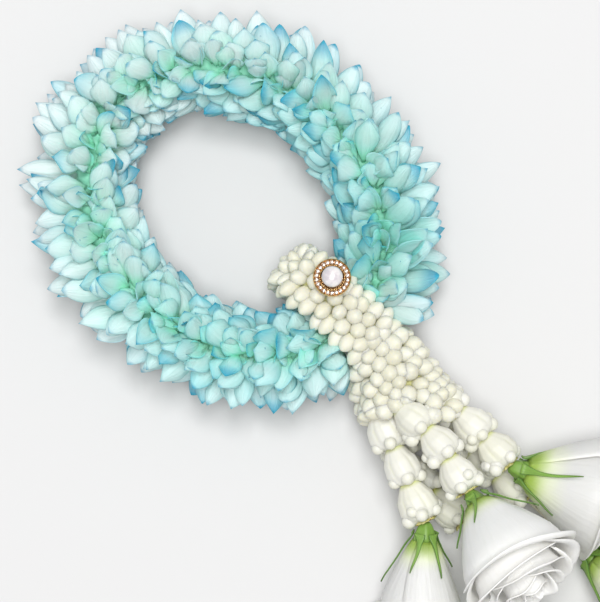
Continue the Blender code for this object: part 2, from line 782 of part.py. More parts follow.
def rose_mesh(base, direction, widest, phase):
    """A half-open rose: a bud core with broad petals in a spiral, each with a lip that stands clear."""
    bm = bmesh.new()
    bmesh.ops.create_uvsphere(bm, u_segments=8, v_segments=5, radius=1.0)
    for vertex in bm.verts:
        u = 0.9 * math.acos(max(-1.0, min(1.0, -vertex.co.z))) / math.pi
        ring = math.hypot(vertex.co.x, vertex.co.y)
        radius = 0.97 * rose_radius(u, widest) * min(1.0, 6.0 * (0.9 - u)) if ring > 1e-6 else 0.0
        scale = radius / ring if ring > 1e-6 else 0.0
        vertex.co = Vector((vertex.co.x * scale, vertex.co.y * scale, ROSE_LENGTH * u))
    core = mesh_of(bm, "rose_core")
    petals = []
    for count, turn, half_angle, top, inset in ROSE_LAYERS:
        for number in range(count):
            centre = phase + turn + math.tau * number / count
            petals.append(rose_petal(centre, half_angle, top - 0.012 * number, inset, widest))
    body = united(core, petals)
    return placed(body, base, axes(direction))


def rose_petal(centre, half_angle, top, inset, widest):
    """One broad petal wrapped on the bud, its edges sunk in it, with a free lip at the mouth."""
    bm = bmesh.new()
    bmesh.ops.create_uvsphere(bm, u_segments=4, v_segments=3, radius=1.0)
    for vertex in bm.verts:
        side, skin, rise = vertex.co.x, vertex.co.y, 0.5 * (1.0 + vertex.co.z)
        u = ROSE_PETAL_FROM + (top - ROSE_PETAL_FROM) * rise
        angle = centre + half_angle * side * (1.15 - 0.25 * rise)
        lip = ROSE_LIP * max(0.0, rise - 0.5) ** 2 * widest
        radius = rose_radius(min(u, 0.98), widest) * (1.0 - inset) - ROSE_PETAL_SINK
        radius += lip + skin * ROSE_PETAL_SKIN
        vertex.co = Vector((radius * math.cos(angle), radius * math.sin(angle), ROSE_LENGTH * u))
    return mesh_of(bm, "rose_petal")


def hip_mesh(base, direction, widest, phase, walls):
    """The green hip behind a rose, bored for its thread, with five narrow sepals that lie along the bloom."""
    profile = [
        (0.0, 0.0),
        (0.72 * HIP_RADIUS, 0.0),
        (HIP_RADIUS, -0.45 * HIP_LENGTH),
        (0.55 * HIP_RADIUS, -HIP_LENGTH),
        (BORE_RADIUS, -HIP_LENGTH),
        (BORE_RADIUS, -0.4 * HIP_LENGTH),
        (0.0, -0.4 * HIP_LENGTH),
    ]
    rotation = axes(direction)
    origin = base - Vector(direction).normalized() * CLEARANCE
    hip = placed(turned(profile, 8), origin, rotation)
    sepals = []
    for number in range(SEPALS):
        angle = phase + math.tau * (number + 0.5) / SEPALS
        length = SEPAL_LENGTH
        while length > SEPAL_SHORTEST:
            trial = tree_of(sepal_mesh(origin, rotation, angle, length, widest, SEPAL_CLEARANCE))
            if not any(trial.overlap(wall) for wall in walls):
                sepals.append(sepal_mesh(origin, rotation, angle, length, widest))
                break
            length *= SEPAL_SHORTER
    return keep_above_floor(united(hip, sepals))


def sepal_mesh(origin, rotation, angle, length, widest, grow=0.0):
    """A narrow sepal from the hip's side, outside the bloom's skin, laid on the floor where it meets it."""
    bm = bmesh.new()
    bmesh.ops.create_uvsphere(bm, u_segments=4, v_segments=3, radius=1.0)
    outward = Vector((math.cos(angle), math.sin(angle), 0.0))
    sideways = Vector((-math.sin(angle), math.cos(angle), 0.0))
    for vertex in bm.verts:
        u = math.acos(max(-1.0, min(1.0, -vertex.co.z))) / math.pi
        ring = math.hypot(vertex.co.x, vertex.co.y)
        side = vertex.co.x / ring if ring > 1e-6 else 0.0
        skin = vertex.co.y / ring if ring > 1e-6 else 0.0
        height = -SEPAL_ROOT + (length + SEPAL_ROOT) * u
        hug = rose_radius(max(0.0, height) / ROSE_LENGTH, widest) + SEPAL_STANDOFF
        radius = max(0.4 * HIP_RADIUS, hug + SEPAL_SPREAD * u) if height > 0.0 else 0.5 * HIP_RADIUS
        wide = (SEPAL_HALF_WIDTH + grow) * math.sin(math.pi * u) ** 0.6 * (1.2 - 0.6 * u)
        thick = skin * (SEPAL_HALF_THICKNESS + grow)
        point = outward * (radius + thick) + sideways * (side * wide) + UP * height
        point = origin + rotation @ point
        upper = skin if (rotation @ outward).z > 0.0 else -skin
        above = (1.0 + upper) * SEPAL_HALF_THICKNESS if ring > 1e-6 else 0.0
        point.z = max(point.z, FLOOR + above)
        vertex.co = point
    return mesh_of(bm, "sepal")


def strand_joints(strand):
    """The places between a strand's flowers, with one before the first and one after the last."""
    stops = [Vector(point) * MM for point in strand["flowers"]]
    joints = [(low + high) * 0.5 for low, high in zip(stops, stops[1:])]
    first = stops[0] * 2.0 - joints[0]
    last = stops[-1] * 2.0 - joints[-1]
    return [first, *joints, last]


def build_strand(key, strand, collection, materials, phase):
    """One strand of the tassel: thread, crown flowers, hip and rose. Returns the solids for later tests."""
    made = []
    joints = strand_joints(strand)
    for number, (low, high) in enumerate(zip(joints, joints[1:]), start=1):
        length = min(FLOWER_LENGTH, (high - low).length - FLOWER_GAP)
        flower = keep_above_floor(flower_mesh((low + high) * 0.5, high - low, length))
        made.append(add_part(f"crown_flower_{key}{number}", flower, collection, materials["crown_flower"]))
    direction = Vector(strand["rose"]).normalized()
    if "hip" in strand:
        tail = Vector(strand["hip"]) * MM
    else:
        tail = joints[-1] + ((joints[-1] - joints[-2]).normalized() + direction) * 0.6 * MM
    base = tail + direction * (CLEARANCE + HIP_LENGTH)
    widest = strand["radius"] * MM
    bloom = pressed_flat(rose_mesh(base, direction, widest, phase))
    made.append(add_part(f"rose_{key}", bloom, collection, materials["rose"]))
    mouth = Vector(strand["exit"]) * MM
    heading = neck_frame(1.0)[4]
    points = [mouth - heading * (STRAND_BORE_DEPTH - 1.0 * MM), mouth + heading * 0.3 * MM, *joints]
    points.extend([tail, tail + direction * 0.5 * HIP_LENGTH])
    thread = keep_above_floor(tube(points, THREAD_RADIUS))
    made.append(add_part(f"strand_thread_{key}", thread, collection, materials["thread"]))
    return made, (base, direction, widest, phase)


def centre_on_box(parts):
    """Moves every part so that the origin is under the middle of the whole garland's box."""
    corners = [vertex.co for part in parts for vertex in part.data.vertices]
    low = [min(corner[axis] for corner in corners) for axis in range(3)]
    high = [max(corner[axis] for corner in corners) for axis in range(3)]
    shift = Vector((-0.5 * (low[0] + high[0]), -0.5 * (low[1] + high[1]), -low[2]))
    for part in parts:
        part.data.transform(Matrix.Translation(shift))


def make_materials():
    return {
        "petal": plain_material("dyed_petal", (0.36, 0.74, 0.72), 0.45),
        "jasmine": plain_material("jasmine", (0.84, 0.82, 0.70), 0.5),
        "crown_flower": plain_material("crown_flower", (0.83, 0.82, 0.74), 0.45),
        "rose": plain_material("white_rose", (0.86, 0.86, 0.80), 0.5),
        "green": plain_material("rose_green", (0.16, 0.30, 0.08), 0.5),
        "thread": plain_material("cotton_thread", (0.80, 0.78, 0.70), 0.8),
        "gold": plain_material("gold", (0.80, 0.52, 0.22), 0.25, metallic=1.0),
        "steel": plain_material("steel", (0.60, 0.60, 0.60), 0.3, metallic=1.0),
        "glass": plain_material("clear_stone", (0.95, 0.95, 0.95), 0.05, transmission=1.0),
        "pearl": plain_material("pearl", (0.90, 0.86, 0.84), 0.2),
    }


def build_cuff(collection, materials):
    """The cuff's three lengths, the top one bored for the brooch's pin. Returns the brooch's seat height."""
    top, bend, under = cuff_lengths()
    gap = 0.5 * CLEARANCE
    strap = cuff_piece(0.0, top - gap, 2)
    seat = brooch_seat(strap)
    place = brooch_pin_place(seat)
    bore = tube([place + UP * MM, place - UP * (BROOCH_PIN_LENGTH + 0.8 * MM)], BROOCH_PIN_RADIUS + CLEARANCE)
    pieces = {
        "jasmine_cuff_top": bored(strap, [bore]),
        "jasmine_cuff_bend": cuff_piece(top + gap, bend - gap, 5),
        "jasmine_cuff_under": cuff_piece(bend + gap, under, 2),
    }
    for name, mesh in pieces.items():
        add_part(name, mesh, collection, materials["jasmine"])
    return seat


def build_ring(collection, materials):
    """The petal ring on its thread, one solid for each length, with its petals kept off all other parts."""
    turns = ring_turns(RING_SEGMENTS * RING_STATIONS)
    line = [ring_point(turn) for turn in turns]
    cores = [segment_core(turns, segment) for segment in range(RING_SEGMENTS)]
    obstacles = [tree_of(part.data) for part in collection.objects]
    petals = ring_petals(ring_turns(2 * PETAL_ROWS)[1::2], obstacles, [tree_of(core) for core in cores])
    for segment in range(RING_SEGMENTS):
        bore = tube(line, BORE_RADIUS, closed=True)
        body = bored(united(cores[segment], petals[segment]), [bore])
        add_part(f"petal_ring_{segment + 1:02d}", keep_above_floor(body), collection, materials["petal"])
    add_part("ring_thread", tube(line, THREAD_RADIUS, closed=True), collection, materials["thread"])


def build_garland():
    clear_scene()
    garland = new_collection("rose_garland")
    materials = make_materials()
    seat = build_cuff(garland, materials)
    brooch_parts(garland, seat, materials)
    neck = add_part("jasmine_neck", neck_mesh(), garland, materials["jasmine"])
    strands, hips = [], []
    for number, (key, strand) in enumerate(STRANDS.items()):
        made, hip = build_strand(key, strand, garland, materials, 0.9 * number + 0.2)
        strands.extend(made)
        hips.append((key, hip))
    walls = [tree_of(part.data) for part in strands + [neck]]
    for key, hip in hips:
        part = add_part(f"rose_hip_{key}", hip_mesh(*hip, walls), garland, materials["green"])
        walls.append(tree_of(part.data))
    add_part("tie_thread", tube(tie_points(), THREAD_RADIUS), garland, materials["thread"])
    build_ring(garland, materials)
    centre_on_box(list(garland.objects))


build_garland()
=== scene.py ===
"""Rose garland, dressed: dyed petal ring, jasmine cuff and neck, brooch, crown flowers and white roses."""

import math

import bpy
import numpy as np
from mathutils import Matrix, Vector


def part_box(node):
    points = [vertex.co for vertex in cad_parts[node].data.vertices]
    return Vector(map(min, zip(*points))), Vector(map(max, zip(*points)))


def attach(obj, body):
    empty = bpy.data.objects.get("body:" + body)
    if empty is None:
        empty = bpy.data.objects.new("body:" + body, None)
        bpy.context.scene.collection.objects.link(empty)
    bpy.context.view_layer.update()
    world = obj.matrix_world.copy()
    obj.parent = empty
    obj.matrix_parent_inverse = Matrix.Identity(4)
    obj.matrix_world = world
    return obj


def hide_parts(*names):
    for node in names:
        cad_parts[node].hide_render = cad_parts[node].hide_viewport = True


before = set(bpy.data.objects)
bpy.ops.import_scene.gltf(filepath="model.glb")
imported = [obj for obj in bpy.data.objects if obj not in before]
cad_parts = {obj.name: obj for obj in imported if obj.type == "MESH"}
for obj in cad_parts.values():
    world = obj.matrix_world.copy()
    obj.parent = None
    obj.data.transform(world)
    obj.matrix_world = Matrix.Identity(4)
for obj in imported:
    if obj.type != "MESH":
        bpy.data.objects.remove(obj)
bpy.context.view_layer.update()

MM = 0.001
TAU = math.tau
UP = np.array((0.0, 0.0, 1.0))

# The layout that the solids were drawn in, and how far it was moved to stand in the middle of its box
RING_CENTRE = np.array((-1.0, -3.0, 20.0)) * MM
SHIFT = 0.5 * sum(np.array(corner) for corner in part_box("ring_thread")) - RING_CENTRE
SHIFT[2] = 0.0

RING_HALF_LENGTH = 63.0 * MM
RING_HALF_WIDTH = 51.0 * MM
RING_SEGMENTS = 12

VIEW_TURN = math.radians(42.0)
VIEW_CENTRE = np.array((-10.6, -45.6)) * MM
VIEW_HEIGHT = 1.02
LENS = 149.5
SENSOR = 36.0
CLIP_START = 0.01

# Each light's direction, distance, size and power
LIGHTS = {
    "key": ((0.70, 0.48, 2.4), 3.0, 1.0, 40.0),
    "top": ((-0.04, 0.0, 1.0), 3.2, 1.5, 59.0),
}
WORLD_LIGHT = 0.43
FLOOR_WHITE = (0.652, 0.650, 0.650)
FLOOR_HALF = 4.0
FLOOR_DROP = 0.2 * MM


def srgb(red, green, blue):
    """A display colour of 0 to 255 as linear light."""
    parts = np.array((red, green, blue)) / 255.0
    return np.where(parts > 0.04045, ((parts + 0.055) / 1.055) ** 2.4, parts / 12.92)


def smooth(x, low=0.0, high=1.0):
    """A smooth rise from 0 at low to 1 at high."""
    part = np.clip((x - low) / (high - low), 0.0, 1.0)
    return part * part * (3.0 - 2.0 * part)


def bell(x, middle, width):
    return np.exp(-(((x - middle) / width) ** 2))


def towards(start, goal, amount):
    """Values moved part of the way to a goal."""
    return start + (goal - start) * amount


def unit(vectors):
    return vectors / np.maximum(np.linalg.norm(vectors, axis=-1, keepdims=True), 1e-9)


def columns_of(*values):
    """Values spread to one shape, as the last axis of an array."""
    return np.stack(np.broadcast_arrays(*values), -1)


def round_axis(radius, angle, height):
    """Points at these radii, angles and heights round the z axis."""
    return columns_of(radius * np.cos(angle), radius * np.sin(angle), height)


# Stage


def new_object(name, data):
    """An object in the scene that shows this data."""
    thing = bpy.data.objects.new(name, data)
    bpy.context.scene.collection.objects.link(thing)
    return thing


def make_camera():
    camera = new_object("camera", bpy.data.cameras.new("camera"))
    camera.data.lens = LENS
    camera.data.sensor_width = SENSOR
    camera.data.clip_start = CLIP_START
    sine, cosine = math.sin(VIEW_TURN), math.cos(VIEW_TURN)
    turn = Matrix(((sine, cosine, 0.0), (-cosine, sine, 0.0), (0.0, 0.0, 1.0)))
    place = VIEW_CENTRE + SHIFT[:2]
    camera.matrix_world = Matrix.Translation((*place, VIEW_HEIGHT)) @ turn.to_4x4()
    bpy.context.scene.camera = camera


def area_light(name, direction, distance, size, power):
    light = bpy.data.lights.new(name, "AREA")
    light.shape = "DISK"
    light.size = size
    light.energy = power
    holder = new_object(name, light)
    direction = Vector(direction).normalized()
    holder.location = direction * distance
    holder.rotation_euler = direction.to_track_quat("Z", "Y").to_euler()


def make_stage():
    corners = [(FLOOR_HALF * x, FLOOR_HALF * y, 0.0) for x, y in ((-1, -1), (1, -1), (1, 1), (-1, 1))]
    mesh = bpy.data.meshes.new("floor")
    mesh.from_pydata(corners, [], [(0, 1, 2, 3)])
    mesh.materials.append(Shader("pale_floor", 0.9, Specular_IOR_Level=0.0).finish(FLOOR_WHITE))
    floor = new_object("floor", mesh)
    floor.location.z = -FLOOR_DROP
    world = bpy.data.worlds.new("studio")
    world.use_nodes = True
    background = world.node_tree.nodes["Background"].inputs
    background["Color"].default_value = (1.0, 1.0, 1.0, 1.0)
    background["Strength"].default_value = WORLD_LIGHT
    bpy.context.scene.world = world
    for name, light in LIGHTS.items():
        area_light(name, *light)
    bpy.context.scene.view_settings.view_transform = "Standard"


# Materials


class Shader:
    """Builds one material's nodes around a Principled shader."""

    def __init__(self, name, roughness, glow=None, **sockets):
        """Glow is the radius, scale and weight of the light that spreads inside thin wet tissue."""
        self.material = bpy.data.materials.new(name)
        self.material.use_nodes = True
        self.nodes = self.material.node_tree.nodes
        self.principled = self.nodes["Principled BSDF"]
        glowing = zip(("Subsurface_Radius", "Subsurface_Scale", "Subsurface_Weight"), glow or ())
        for socket, value in {"Roughness": roughness, **dict(glowing), **sockets}.items():
            self.principled.inputs[socket.replace("_", " ")].default_value = value

    def link(self, value, socket):
        if isinstance(value, bpy.types.NodeSocket):
            self.material.node_tree.links.new(value, socket)
        else:
            socket.default_value = (*value, 1.0) if socket.type == "RGBA" else value

    def node(self, kind, inputs=None, **settings):
        """A new node with these settings, and sockets or values for its inputs."""
        node = self.nodes.new(f"ShaderNode{kind}")
        for setting, value in settings.items():
            setattr(node, setting, value)
        for socket, value in (inputs or {}).items():
            self.link(value, node.inputs[socket])
        return node

    def field(self, name):
        """The red, green and blue parts of a mesh's own colour field, and the field itself."""
        colour = self.node("Attribute", attribute_name=name).outputs["Color"]
        return *self.node("SeparateColor", {0: colour}).outputs, colour

    def math(self, operation, first, second=0.0, clamp=False):
        return self.node("Math", {0: first, 1: second}, operation=operation, use_clamp=clamp).outputs[0]

    def plus(self, first, second):
        return self.math("ADD", first, second)

    def times(self, first, second, clamp=False):
        return self.math("MULTIPLY", first, second, clamp)

    def ramp(self, value, low, high):
        """A smooth rise from 0 at low to 1 at high."""
        inputs = {"Value": value, "From Min": low, "From Max": high}
        return self.node("MapRange", inputs, interpolation_type="SMOOTHSTEP").outputs[0]

    def mix(self, factor, first, second):
        return self.node("Mix", {0: factor, 6: first, 7: second}, data_type="RGBA").outputs[2]

    def stain(self, colour, stain, value, low, high, amount=None):
        """A colour with a stain over it, which sets in as a value goes from low to high."""
        mask = self.ramp(value, low, high)
        return self.mix(mask if amount is None else self.times(mask, amount), colour, stain)

    def place(self):
        return self.node("TexCoord").outputs["Object"]

    def noise(self, scale, detail=2.0, place=None):
        inputs = {"Scale": scale, "Detail": detail, "Vector": place or self.place()}
        return self.node("TexNoise", inputs).outputs["Fac"]

    def cells(self, scale):
        return self.node("TexVoronoi", {"Scale": scale, "Vector": self.place()}).outputs["Distance"]

    def streaks(self, across, along, fine, long, third=0.0):
        """Noise that is fine across a petal and drawn out along it."""
        place = self.node("CombineXYZ", {0: self.times(across, fine), 1: self.times(along, long), 2: third})
        return self.noise(1.0, 3.0, place.outputs[0])

    def bump(self, height, distance, strength=1.0):
        node = self.node("Bump", {"Distance": distance, "Strength": strength, "Height": height})
        self.link(node.outputs[0], self.principled.inputs["Normal"])

    def finish(self, colour):
        self.link(colour, self.principled.inputs["Base Color"])
        return self.material


def two_tone(name, roughness, first, second, grain, relief=None, depth=0.0, **sockets):
    """A mottled material. Grain and relief are the scale and detail of the noise in its colour and bump."""
    shader = Shader(name, roughness, **sockets)
    if relief:
        shader.bump(shader.noise(*relief), depth)
    return shader.finish(shader.mix(shader.noise(*grain), first, second))


def petal_material():
    """Waxy petals: the dye of each lies in its own field, along with painted shade and painted light for its
    place on the ring, with rims, points, veins and spots over it.
    """
    rim_blue, point_blue, vein_aqua, spot_blue = (
        srgb(*colour) for colour in ((52, 180, 204), (16, 144, 186), (134, 222, 214), (60, 150, 176))
    )
    shader = Shader("dyed_petal", 0.42, ((0.9, 1.0, 1.0), 0.003, 0.55))
    along, across, dye, _ = shader.field("blade")
    # The tint field holds dye, and also painted shade and painted light from petal_tints
    tint = shader.field("tint")[3]
    edge = shader.times(shader.math("ABSOLUTE", shader.plus(across, -0.5)), 2.0)
    wander = shader.plus(shader.noise(240.0), -0.5)
    ragged = shader.plus(edge, shader.times(wander, 0.25))
    patchy = shader.ramp(shader.noise(95.0, 1.0), 0.38, 0.62)
    strength = shader.plus(dye, 0.40)
    rim = shader.times(shader.ramp(ragged, 0.76, 1.04), shader.ramp(along, 0.25, 0.75))
    rim = shader.times(rim, shader.plus(shader.times(patchy, 0.65), 0.35))
    colour = shader.mix(shader.times(rim, strength, clamp=True), tint, rim_blue)
    point = shader.ramp(shader.plus(along, shader.times(wander, 0.12)), 0.90, 1.0)
    colour = shader.mix(shader.times(point, shader.plus(strength, 0.2), clamp=True), colour, point_blue)
    veins = shader.streaks(across, along, 13.0, 0.9, dye)
    colour = shader.stain(colour, vein_aqua, veins, 0.48, 0.72, 0.20)
    spots = shader.times(shader.math("LESS_THAN", shader.cells(210.0), 0.10), 0.6)
    colour = shader.stain(colour, spot_blue, shader.noise(60.0), 0.60, 0.66, spots)
    shader.bump(veins, 0.6 * MM, 0.9)
    return shader.finish(colour)


def root_material():
    """The green roots deep between the petals, in a dark green mottle that is partly their own colour and
    partly painted shade for the depths.
    """
    dark, light = srgb(84, 164, 134), srgb(150, 218, 192)
    # Dark green: partly the roots' own colour, partly painted shade between the petals
    return two_tone("petal_roots", 0.6, dark, light, (260.0, 3.0), (500.0, 2.0), 0.4 * MM)


def bud_material():
    """Jasmine buds: satin cream white, lime and then olive towards the root; the olive is partly the buds'
    green base and partly painted shade for the gaps between them.
    """
    cream, ivory, lime = srgb(219, 218, 205), srgb(213, 211, 193), srgb(206, 204, 150)
    olive, mottled = srgb(142, 144, 66), srgb(214, 210, 184)
    shader = Shader("jasmine_bud", 0.5, ((1.0, 0.9, 0.6), 0.003, 0.5))
    along, _, shade, _ = shader.field("blade")
    colour = shader.stain(shader.mix(shade, cream, ivory), lime, along, 0.63, 0.30)
    # Olive at the root: partly the green base, partly painted shade in the gaps between the packed buds
    colour = shader.stain(colour, olive, along, 0.46, 0.20)
    mottle = shader.noise(420.0, 3.0)
    colour = shader.stain(colour, mottled, mottle, 0.5, 0.8, 0.25)
    shader.bump(mottle, 0.1 * MM, 0.5)
    return shader.finish(colour)


def core_material():
    """What shows deep between the buds: stalks and thread in olive shade."""
    olive, straw = srgb(150, 150, 84), srgb(214, 212, 160)
    return two_tone("bud_core", 0.8, olive, straw, (500.0, 3.0), (900.0, 2.0), 0.3 * MM)


def flower_material():
    """Crown flowers: thick waxy white, greenish in the folds and yellow green at the narrow end."""
    white, cream = srgb(223, 222, 213), srgb(218, 217, 203)
    fold_green, end_green = srgb(206, 208, 168), srgb(200, 206, 130)
    shader = Shader("crown_flower_wax", 0.5, ((1.0, 0.95, 0.75), 0.002, 0.25))
    along, fold, shade, _ = shader.field("blade")
    colour = shader.stain(shader.mix(shade, white, cream), fold_green, fold, 0.6, 1.0, 0.28)
    colour = shader.stain(colour, end_green, along, 0.16, 0.0)
    shader.bump(shader.noise(300.0, 3.0), 0.15 * MM, 0.5)
    return shader.finish(colour)


def star_material():
    """The ragged yellow green crown between two flowers."""
    yellow, olive, brown = srgb(208, 202, 140), srgb(160, 156, 84), srgb(128, 92, 40)
    shader = Shader("flower_star", 0.6)
    colour = shader.stain(yellow, olive, shader.noise(700.0), 0.4, 0.6)
    return shader.finish(shader.stain(colour, brown, shader.noise(1100.0, 1.0), 0.62, 0.7))


def rose_material():
    """Rose petals: soft white, lime green at the base, with faint veins, and painted light: inner layers and
    the roses that get less light are painted whiter.
    """
    painted_shade_white, painted_light_white, pale_green = srgb(218, 217, 213), srgb(244, 243, 239), srgb(226, 234, 186)
    lime, vein_grey = srgb(158, 190, 78), srgb(216, 222, 204)
    shader = Shader("white_rose_petal", 0.48, ((1.0, 0.95, 0.8), 0.004, 0.35))
    along, across, shade, _ = shader.field("blade")
    drifting = shader.plus(along, shader.times(shader.plus(shader.noise(90.0), -0.5), 0.16))
    # Painted light and shade: whiter layer by layer inward against the shade in the mouth, and by each rose's
    # painted light
    colour = shader.stain(painted_shade_white, painted_light_white, shade, 0.0, 0.5)
    colour = shader.stain(colour, pale_green, drifting, 0.42, 0.10)
    colour = shader.stain(colour, lime, drifting, 0.26, 0.06)
    lines = shader.streaks(across, along, 34.0, 2.0)
    shader.bump(lines, 0.4 * MM, 0.7)
    return shader.finish(shader.stain(colour, vein_grey, lines, 0.5, 0.8, 0.12))


def green_material():
    """Hips and sepals: satin green, darker along the edges and towards the tail."""
    dark, light, edge_green, tail_green = (
        srgb(*colour) for colour in ((84, 128, 48), (146, 180, 84), (58, 98, 40), (70, 96, 44))
    )
    shader = Shader("sepal_green", 0.45, ((0.5, 1.0, 0.3), 0.002, 0.2))
    along, across, _, _ = shader.field("blade")
    streaks = shader.streaks(across, along, 14.0, 3.0)
    edge = shader.math("ABSOLUTE", shader.plus(across, -0.5))
    colour = shader.stain(shader.mix(streaks, dark, light), edge_green, edge, 0.34, 0.5, 0.6)
    colour = shader.stain(colour, tail_green, along, 0.7, 1.0, 0.6)
    shader.bump(streaks, 0.2 * MM)
    return shader.finish(colour)


def thread_material():
    grain = (1500.0, 2.0)
    return two_tone("cotton", 0.8, srgb(212, 206, 180), srgb(240, 236, 218), grain, grain, 0.2 * MM)


def steel_material():
    return two_tone("bright_wire", 0.3, srgb(190, 190, 190), srgb(214, 214, 214), (2200.0, 2.0), Metallic=1.0)


def gold_material(name, light, dark, roughness):
    """Gilding, mottled light and dark in its colour partly by tarnishing and partly as painted dark
    reflections, and in its gloss by the same mottle.
    """
    shader = Shader(name, roughness, Metallic=1.0)
    tarnish_and_reflection = shader.noise(900.0, 3.0)
    shader.bump(tarnish_and_reflection, 0.05 * MM)
    gloss = shader.plus(shader.times(tarnish_and_reflection, 0.2), roughness - 0.1)
    shader.link(gloss, shader.principled.inputs["Roughness"])
    # Painted reflections and tarnishing: the mottle turns light gold to dark gold
    return shader.finish(shader.stain(light, dark, tarnish_and_reflection, 0.45, 0.7))


def stone_material():
    """Clear faceted stones on a dark foil, mottled with painted glints: bright clear cells with the foil
    between them.
    """
    clear, foil = srgb(252, 250, 246), srgb(150, 132, 118)
    shader = Shader("rhinestone", 0.04, IOR=1.75, Coat_Weight=1.0, Coat_Roughness=0.02)
    # Painted glints: cells of clear colour over the dark foil
    return shader.finish(shader.stain(clear, foil, shader.cells(1600.0), 0.15, 0.55))


def pearl_material():
    shader = Shader("pearl_lustre", 0.22, Coat_Weight=0.8, Coat_Roughness=0.08)
    lustre_and_reflection = shader.noise(260.0)
    shader.bump(lustre_and_reflection, 0.12 * MM)
    # Lilac grey mottle: partly the pearl's lustre, partly painted reflections
    return shader.finish(shader.stain(srgb(234, 229, 227), srgb(200, 192, 198), lustre_and_reflection, 0.35, 0.65))


# Each finish: its material and its slot
FINISHES = {
    "petal": (petal_material(), "dyed_petal"),
    "roots": (root_material(), "dyed_petal"),
    "bud": (bud_material(), "jasmine"),
    "core": (core_material(), "jasmine"),
    "flower": (flower_material(), "crown_flower"),
    "star": (star_material(), "crown_flower"),
    "rose": (rose_material(), "white_rose"),
    "green": (green_material(), "rose_green"),
    "thread": (thread_material(), "cotton_thread"),
    "steel": (steel_material(), "steel"),
    "gold": (gold_material("polished_gold", srgb(243, 206, 146), srgb(200, 144, 84), 0.24), "gold"),
    # Gold painted dark, as painted shade in the bed and claws between the stones
    "dark gold": (gold_material("shaded_gold", srgb(150, 104, 62), srgb(84, 54, 32), 0.34), "gold"),
    "stone": (stone_material(), "clear_stone"),
    "pearl": (pearl_material(), "pearl"),
}


# Parts: points, quads, triangles and the values of their fields, or None


def quad_grid(rows, columns, around=False):
    """The quads of a grid of points. Around joins the last column to the first."""
    i, j = np.meshgrid(np.arange(rows - 1), np.arange(columns if around else columns - 1), indexing="ij")
    after = (j + 1) % columns
    low, high = i * columns, (i + 1) * columns
    return np.stack((low + j, high + j, high + after, low + after), -1).reshape(-1, 4)


def shell_quads(rows, columns):
    """The quads of a thin closed shell: a front grid, a back grid and the rim between them."""
    front = quad_grid(rows, columns)
    count = rows * columns
    i, j = np.arange(rows - 1), np.arange(columns - 1)
    last = count - columns
    rims = [
        ((i + 1) * columns, i * columns),
        (last + j + 1, last + j),
        (i * columns + columns - 1, (i + 1) * columns + columns - 1),
        (j, j + 1),
    ]
    edges = [np.stack((start, end, end + count, start + count), -1) for start, end in rims]
    return np.concatenate([front, front[:, ::-1] + count, *edges])


def repeated(faces, bodies, count):
    """One body's faces for each of several bodies with this many points."""
    return (faces[None] + (np.arange(bodies) * count)[:, None, None]).reshape(-1, faces.shape[1])


def shells(points, thickness, fields):
    """Thin closed shells round sheets of points (sheet, row, column, xyz)."""
    normal = unit(np.cross(np.gradient(points, axis=1), np.gradient(points, axis=2)))
    half = 0.5 * np.asarray(thickness)[..., None] * normal
    sheets, rows, columns, _ = points.shape
    count = rows * columns
    sides = lambda *both: np.concatenate([side.reshape(sheets, count, -1) for side in both], 1)
    verts, values = sides(points + half, points - half), sides(fields, fields)
    quads = repeated(shell_quads(rows, columns), sheets, 2 * count)
    return verts.reshape(-1, 3), quads, np.zeros((0, 3), int), values.reshape(-1, values.shape[-1])


def with_ends(values):
    """Values on rings (body, ring, place round it, part), and after them the mean of each end's ring."""
    bodies, parts = values.shape[0], values.shape[-1]
    ends = np.stack((values[:, 0].mean(1), values[:, -1].mean(1)), 1)
    return np.concatenate([values.reshape(bodies, -1, parts), ends], 1).reshape(-1, parts)


def round_bodies(points, fields=None):
    """Closed bodies from rings of points (body, ring, place round it, xyz), each end closed by its middle."""
    bodies, rings, places, _ = points.shape
    count = rings * places
    j = np.arange(places)
    after = (j + 1) % places
    last = count - places
    first_end = np.stack((j, after, np.full(places, count)), -1)
    last_end = np.stack((last + after, last + j, np.full(places, count + 1)), -1)
    quads = repeated(quad_grid(rings, places, around=True), bodies, count + 2)
    tris = repeated(np.concatenate([first_end, last_end]), bodies, count + 2)
    return with_ends(points), quads, tris, None if fields is None else with_ends(fields)


def joined(parts):
    """One part from several."""
    verts, quads, tris, fields = zip(*parts)
    starts = np.cumsum([0] + [len(some) for some in verts])
    moved = lambda faces: np.concatenate([some + start for some, start in zip(faces, starts)])
    return np.concatenate(verts), moved(quads), moved(tris), np.concatenate(fields)


def new_mesh(name, part):
    """A part's mesh in the frame, kept above the floor, with its fields, three columns each."""
    verts, quads, tris, fields = part
    verts = verts + SHIFT
    verts[:, 2] = np.maximum(verts[:, 2], 0.0)
    mesh = bpy.data.meshes.new(name)
    mesh.from_pydata(verts, [], [*quads.tolist(), *tris.tolist()])
    if fields is not None:
        for field, values in zip(("blade", "tint"), np.split(fields, fields.shape[1] // 3, axis=1)):
            rgba = np.ones((len(values), 4), np.float32)
            rgba[:, :3] = values
            mesh.attributes.new(field, "FLOAT_COLOR", "POINT").data.foreach_set("color", rgba.ravel())
    return mesh


def add_piece(name, part, finish, *replaced, sharp=None):
    """A piece in the place of the nodes that it replaces. Sharp is the angle from which its edges show."""
    mesh = new_mesh(name, part)
    material, slot = FINISHES[finish]
    mesh.materials.append(material)
    mesh.shade_smooth()
    if sharp is not None:
        mesh.set_sharp_from_angle(angle=math.radians(sharp))
    piece = new_object(name, mesh)
    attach(piece, "root")
    if replaced:
        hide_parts(*replaced)


def axes(direction):
    """Sideways, up and forward directions of a frame whose forward is the direction."""
    z = unit(np.array(direction, float))
    x = np.cross(UP, z)
    if np.linalg.norm(x) < 1e-6:
        x = np.cross((1.0, 0.0, 0.0), z)
    x = unit(x)
    return x, np.cross(z, x), z


def to_world(local, origin, direction):
    x, y, z = axes(direction)
    return origin + local[..., :1] * x + local[..., 1:2] * y + local[..., 2:3] * z


# Ring petals


PETAL_ROWS = 58
